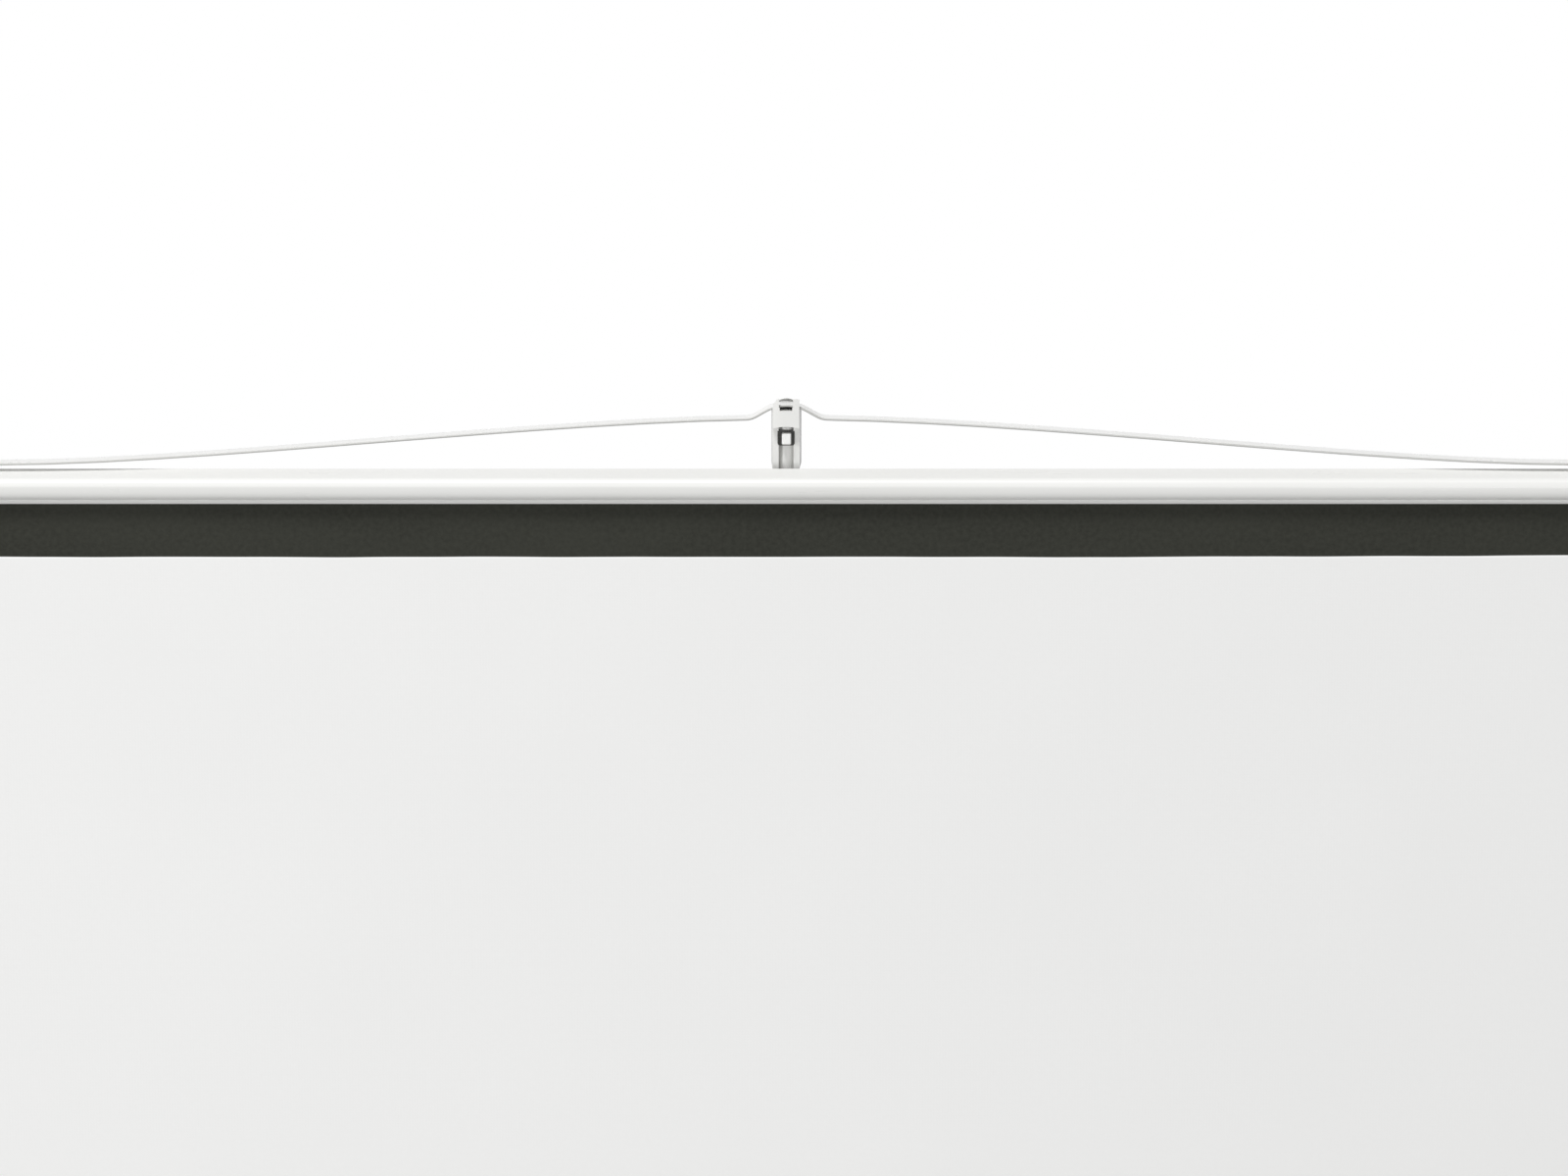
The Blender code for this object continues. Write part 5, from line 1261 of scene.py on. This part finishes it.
def framed(origin, across, beside, rise):
    """Turns a shape's own X, Y and Z into the three directions, from the origin."""
    return Matrix.Translation(origin) @ Matrix((across, beside, rise)).transposed().to_4x4()


def standing(number, level):
    """Turns a shape's own X outwards along a leg, from a level of the column's axis."""
    _, outward, beside = spoke(number)
    return framed(on_axis(level), outward, beside, UP)


def strut_offset(number, beside):
    """How far a strut's middle lies to the side of its leg."""
    x, y, _ = centre_of(f"strut_{number}")
    return Vector((x - AXIS.x, y - AXIS.y, 0)).dot(beside)


class TRIPOD_SCREEN_OT_hub(bpy.types.Operator):
    """Model the leg hub and the sliding strut collar"""
    bl_idname = "tripod_screen.hub"
    bl_label = "Hub and strut collar"

    def execute(self, context):
        low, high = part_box("leg_hub")
        hub = loose_object("hub_moulding", moved(bar(HUB_RADIUS, low.z, high.z, 96, 0.0026), AXIS))
        slot = TONGUE_THICKNESS / 2 + SEAT_GAP
        level = spoke(1)[0].z
        cheek, rise = 0.004, 0.012
        for number in LEGS:
            lug = block((0.016, -slot - cheek, -rise), (0.039, slot + cheek, rise), 0.0018)
            carve(hub, placed(lug, standing(number, level)), "UNION")
        for number in LEGS:
            gap = block((HUB_RADIUS + SEAT_GAP, -slot, -0.03), (0.06, slot, 0.03))
            carve(hub, placed(gap, standing(number, level)))
            pivot, outward, beside = spoke(number)
            pin = bar(PIN_RADIUS + SEAT_GAP, -0.02, 0.02, 32)
            carve(hub, placed(pin, framed(pivot, outward, UP, -beside)))
        drill(hub, COLUMN_RADIUS + SEAT_GAP, low.z - PAST, high.z + PAST, AXIS, steps=96)
        finished(hub, "white moulding", "stand", ["leg_hub"])
        self.make_strut_collar()
        refinish("zinc plate", "leg_pin_1", "leg_pin_2", "leg_pin_3")
        return {"FINISHED"}

    @staticmethod
    def make_strut_collar():
        low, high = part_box("strut_collar")
        inner = COLUMN_RADIUS + RUNNING_GAP
        ring = pipe(STRUT_COLLAR_RADIUS, inner, low.z, high.z, 0.0012, 4)
        collar = loose_object("strut_collar_moulding", moved(ring, AXIS))
        level, cheek, rise = (low.z + high.z) / 2, 0.0035, 0.008
        for number in LEGS:
            offset = strut_offset(number, spoke(number)[2])
            side = 1 if offset > 0 else -1
            near = abs(offset) + STRUT_THICKNESS / 2 + SEAT_GAP
            faces = sorted((side * near, side * (near + cheek)))
            lug = block((0.012, faces[0], -rise), (0.040, faces[1], rise), 0.0012)
            carve(collar, placed(lug, standing(number, level)), "UNION")
        drill(collar, inner, low.z - PAST, high.z + PAST, AXIS, steps=96)
        finished(collar, "white moulding", "strut_collar_body", ["strut_collar"])


class TRIPOD_SCREEN_OT_legs(bpy.types.Operator):
    """Model the three legs with their feet and struts"""
    bl_idname = "tripod_screen.legs"
    bl_label = "Legs"

    def execute(self, context):
        for number in LEGS:
            pivot, outward, beside = spoke(number)
            low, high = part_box(f"foot_{number}")
            end = Vector(((low.x + high.x) / 2, (low.y + high.y) / 2, FOOT_LEVEL))
            rise = (pivot - end).normalized()
            leaning = framed(pivot, beside.cross(rise), beside, rise)
            length = (pivot - end).length
            self.make_leg(number, leaning, length)
            self.make_foot(number, leaning, length, low, high)
            self.make_strut(number, outward, beside)
            refinish("zinc plate", f"strut_rivet_{number}")
        return {"FINISHED"}

    @staticmethod
    def make_leg(number, leaning, length):
        end = LEG_END_INSET - length
        leg = loose_object(f"leg_tube_{number}",
                           slab(oval(LEG_WIDTH, LEG_THICKNESS), end, -LEG_START, "z"))
        round_edges(leg, 0.0009, 3, 50)
        half = TONGUE_THICKNESS / 2
        tip, root = 0.007, -LEG_START - 0.002
        tongue = [(tip, root)] + arc((0, 0), tip, 0, 180, 20) + [(-tip, root)]
        carve(leg, slab(tongue, -half, half), "UNION")
        drill(leg, PIN_RADIUS + SEAT_GAP, -0.02, 0.02, (0, 0, 0), ALONG_Y)
        rivet = leaning.inverted() @ Vector(centre_of(f"strut_rivet_{number}"))
        side = 1 if rivet.y > 0 else -1
        drill(leg, RIVET_HOLE, 0, 0.02, (0, side * LEG_THICKNESS / 4, rivet.z),
              Matrix.Rotation(-side * math.pi / 2, 4, "X"), 24)
        leg.data.transform(leaning)
        finished(leg, "white powder coat", f"leg_{number}_body", [f"leg_{number}"])

    @staticmethod
    def make_foot(number, leaning, length, low, high):
        radius, tall = (high.x - low.x) / 2, high.z - low.z
        profile = [(0, tall), (radius * 0.78, tall), (radius * 0.86, tall * 0.80)]
        rib, groove = radius * 0.90, radius * 0.84
        for index in range(3):
            level = tall * (0.72 - 0.16 * index)
            profile += [(rib, level), (rib, level - 0.0006), (groove, level - 0.0012),
                        (groove, level - 0.0022), (rib, level - 0.0028)]
        profile += [(radius, tall * 0.16), (radius, 0.0015), (radius - 0.0015, 0), (0, 0)]
        shape = turned(softened(profile, 0.0012, 3, closed=False), closed=False, steps=72)
        foot = loose_object(f"rubber_foot_{number}",
                            moved(shape, ((low.x + high.x) / 2, (low.y + high.y) / 2, low.z)))
        socket = slab(oval(LEG_WIDTH + 2 * SEAT_GAP, LEG_THICKNESS + 2 * SEAT_GAP),
                      LEG_END_INSET - length - SEAT_GAP, LEG_END_INSET - length + 0.08, "z")
        carve(foot, placed(socket, leaning))
        finished(foot, "foot rubber", f"leg_{number}_body", [f"foot_{number}"])

    @staticmethod
    def make_strut(number, outward, beside):
        pivot = Vector(JOINT[f"strut_{number}_fold"]["pos_m"])
        foot = on_axis(centre_of("strut_collar")[2]) + outward * STRUT_REACH
        rise = (pivot - foot).normalized()
        length = (pivot - foot).length
        offset = strut_offset(number, beside)
        outline = arc((0, 0), 0.006, 0, 180, 16) + arc((0, -length), 0.006, 180, 360, 16)
        strut = loose_object(f"strut_bar_{number}",
                             slab(outline, offset - STRUT_THICKNESS / 2, offset + STRUT_THICKNESS / 2))
        drill(strut, RIVET_HOLE, -0.03, 0.03, (0, 0, 0), ALONG_Y)
        round_edges(strut, 0.0005, 2, 40)
        strut.data.transform(framed(pivot, beside.cross(rise), beside, rise))
        finished(strut, "white powder coat", f"strut_{number}_body", [f"strut_{number}"])


# Stage

# Each lamp's lean above level and its turn aside in degrees, its distance, its width and its height
LAMPS = {
    "top": (62.8, -31, 12.0, 5.0, 1.9),
    "left": (1, -36, 8.0, 2.6, 2.6),
    "right": (1, 18, 8.0, 2.6, 2.6),
}


def area_lamp(name, place, target, width, height, power):
    data = bpy.data.lights.new(name, "AREA")
    data.shape = "RECTANGLE"
    data.size = width
    data.size_y = height
    data.energy = power
    lamp = bpy.data.objects.new(name, data)
    bpy.context.scene.collection.objects.link(lamp)
    lamp.location = place
    lamp.rotation_euler = (Vector(target) - Vector(place)).to_track_quat("-Z", "Y").to_euler()


class TRIPOD_SCREEN_OT_stage(bpy.types.Operator):
    """Set the floor, the studio light and the camera"""
    bl_idname = "tripod_screen.stage"
    bl_label = "Stage"

    def execute(self, context):
        scene = context.scene
        stage = scene.screen_stage
        self.make_world(scene, stage.sky)
        self.make_floor(stage.floor_radius)
        aim = Vector((AXIS.x, CLOTH_PLANE, BATTEN_LOW.z))
        for name, (lean, aside, distance, width, height) in LAMPS.items():
            lean, aside = math.radians(lean), math.radians(aside)
            away = Vector((math.sin(aside) * math.cos(lean), -math.cos(aside) * math.cos(lean),
                           math.sin(lean)))
            area_lamp(f"{name} lamp", aim + away * distance, aim, width, height, getattr(stage, name))
        self.make_camera(scene, stage)
        scene.view_settings.view_transform = "Standard"
        return {"FINISHED"}

    @staticmethod
    def make_world(scene, sky):
        world = bpy.data.worlds.new("studio")
        scene.world = world
        world.use_nodes = True
        tree = world.node_tree
        tree.nodes.clear()
        white = (1, 1, 1, 1)
        lit = add_node(tree, "Background", {"Color": white, "Strength": sky}).outputs[0]
        shown = add_node(tree, "Background", {"Color": white}).outputs[0]
        mixed = add_node(tree, "MixShader", {0: seen_share(tree), 1: lit, 2: shown}).outputs[0]
        add_node(tree, "OutputWorld", {"Surface": mixed})

    @staticmethod
    def make_floor(radius):
        shape = bmesh.new()
        bmesh.ops.create_circle(shape, cap_ends=True, radius=radius, segments=96)
        bmesh.ops.translate(shape, vec=(0, 0, CAD_BOX[0].z - 0.0005), verts=shape.verts)
        floor = loose_object("floor", shape)
        made = Finish("floor", (0.90, 0.90, 0.90), 0.9, specular=0.1)
        pale = made.blend(made.ranged(made.noise(1.3)), (0.885, 0.885, 0.885, 1), (0.90, 0.90, 0.90, 1))
        made.paint(made.blend(seen_share(made.tree), (0.42, 0.42, 0.42, 1), pale))
        floor.data.materials.append(made.material)

    @staticmethod
    def make_camera(scene, stage):
        data = bpy.data.cameras.new("camera")
        data.sensor_width = 36
        data.lens = data.sensor_width * stage.distance / stage.view_width
        data.clip_end = 100
        camera = bpy.data.objects.new("camera", data)
        scene.collection.objects.link(camera)
        # The batten's top edge shows this far above the middle of the picture
        above_middle = 0.0915
        aside = -0.0019
        level, down = math.cos(stage.elevation), math.sin(stage.elevation)
        rise = (above_middle - (BATTEN_HIGH.y - CLOTH_PLANE) * down) / level
        aim = Vector((AXIS.x + aside, CLOTH_PLANE, BATTEN_HIGH.z - rise))
        back = Vector((0, -level, down))
        camera.location = aim + back * stage.distance
        camera.rotation_euler = (-back).to_track_quat("-Z", "Y").to_euler()
        scene.camera = camera


class TRIPOD_SCREEN_PT_panel(bpy.types.Panel):
    """Lists the screen's makers and settings"""
    bl_idname = "TRIPOD_SCREEN_PT_panel"
    bl_label = "Tripod Projector Screen"
    bl_space_type = "VIEW_3D"
    bl_region_type = "UI"
    bl_category = "Screen"

    def draw(self, context):
        layout = self.layout
        for operator in OPERATORS:
            layout.operator(operator.bl_idname)
        for group in (context.scene.screen_looks, context.scene.screen_sizes, context.scene.screen_stage):
            column = layout.column(align=True)
            for name in group.__annotations__:
                column.prop(group, name)


OPERATORS = (
    TRIPOD_SCREEN_OT_cloth, TRIPOD_SCREEN_OT_batten, TRIPOD_SCREEN_OT_bow, TRIPOD_SCREEN_OT_hook,
    TRIPOD_SCREEN_OT_extension, TRIPOD_SCREEN_OT_case, TRIPOD_SCREEN_OT_roller, TRIPOD_SCREEN_OT_slider,
    TRIPOD_SCREEN_OT_column, TRIPOD_SCREEN_OT_hub, TRIPOD_SCREEN_OT_legs, TRIPOD_SCREEN_OT_stage)
GROUPS = {"screen_looks": ScreenLooks, "screen_sizes": ScreenSizes, "screen_stage": ScreenStage}


def register():
    for kind in (*GROUPS.values(), *OPERATORS, TRIPOD_SCREEN_PT_panel):
        bpy.utils.register_class(kind)
    for name, group in GROUPS.items():
        setattr(bpy.types.Scene, name, bpy.props.PointerProperty(type=group))


def unregister():
    for name in GROUPS:
        delattr(bpy.types.Scene, name)
    for kind in (TRIPOD_SCREEN_PT_panel, *reversed(OPERATORS), *reversed(list(GROUPS.values()))):
        bpy.utils.unregister_class(kind)


def main():
    register()
    bpy.ops.tripod_screen.cloth()
    bpy.ops.tripod_screen.batten()
    bpy.ops.tripod_screen.bow()
    bpy.ops.tripod_screen.hook()
    bpy.ops.tripod_screen.extension()
    bpy.ops.tripod_screen.case()
    bpy.ops.tripod_screen.roller()
    bpy.ops.tripod_screen.slider()
    bpy.ops.tripod_screen.column()
    bpy.ops.tripod_screen.hub()
    bpy.ops.tripod_screen.legs()
    bpy.ops.tripod_screen.stage()


if __name__ == "__main__":
    main()
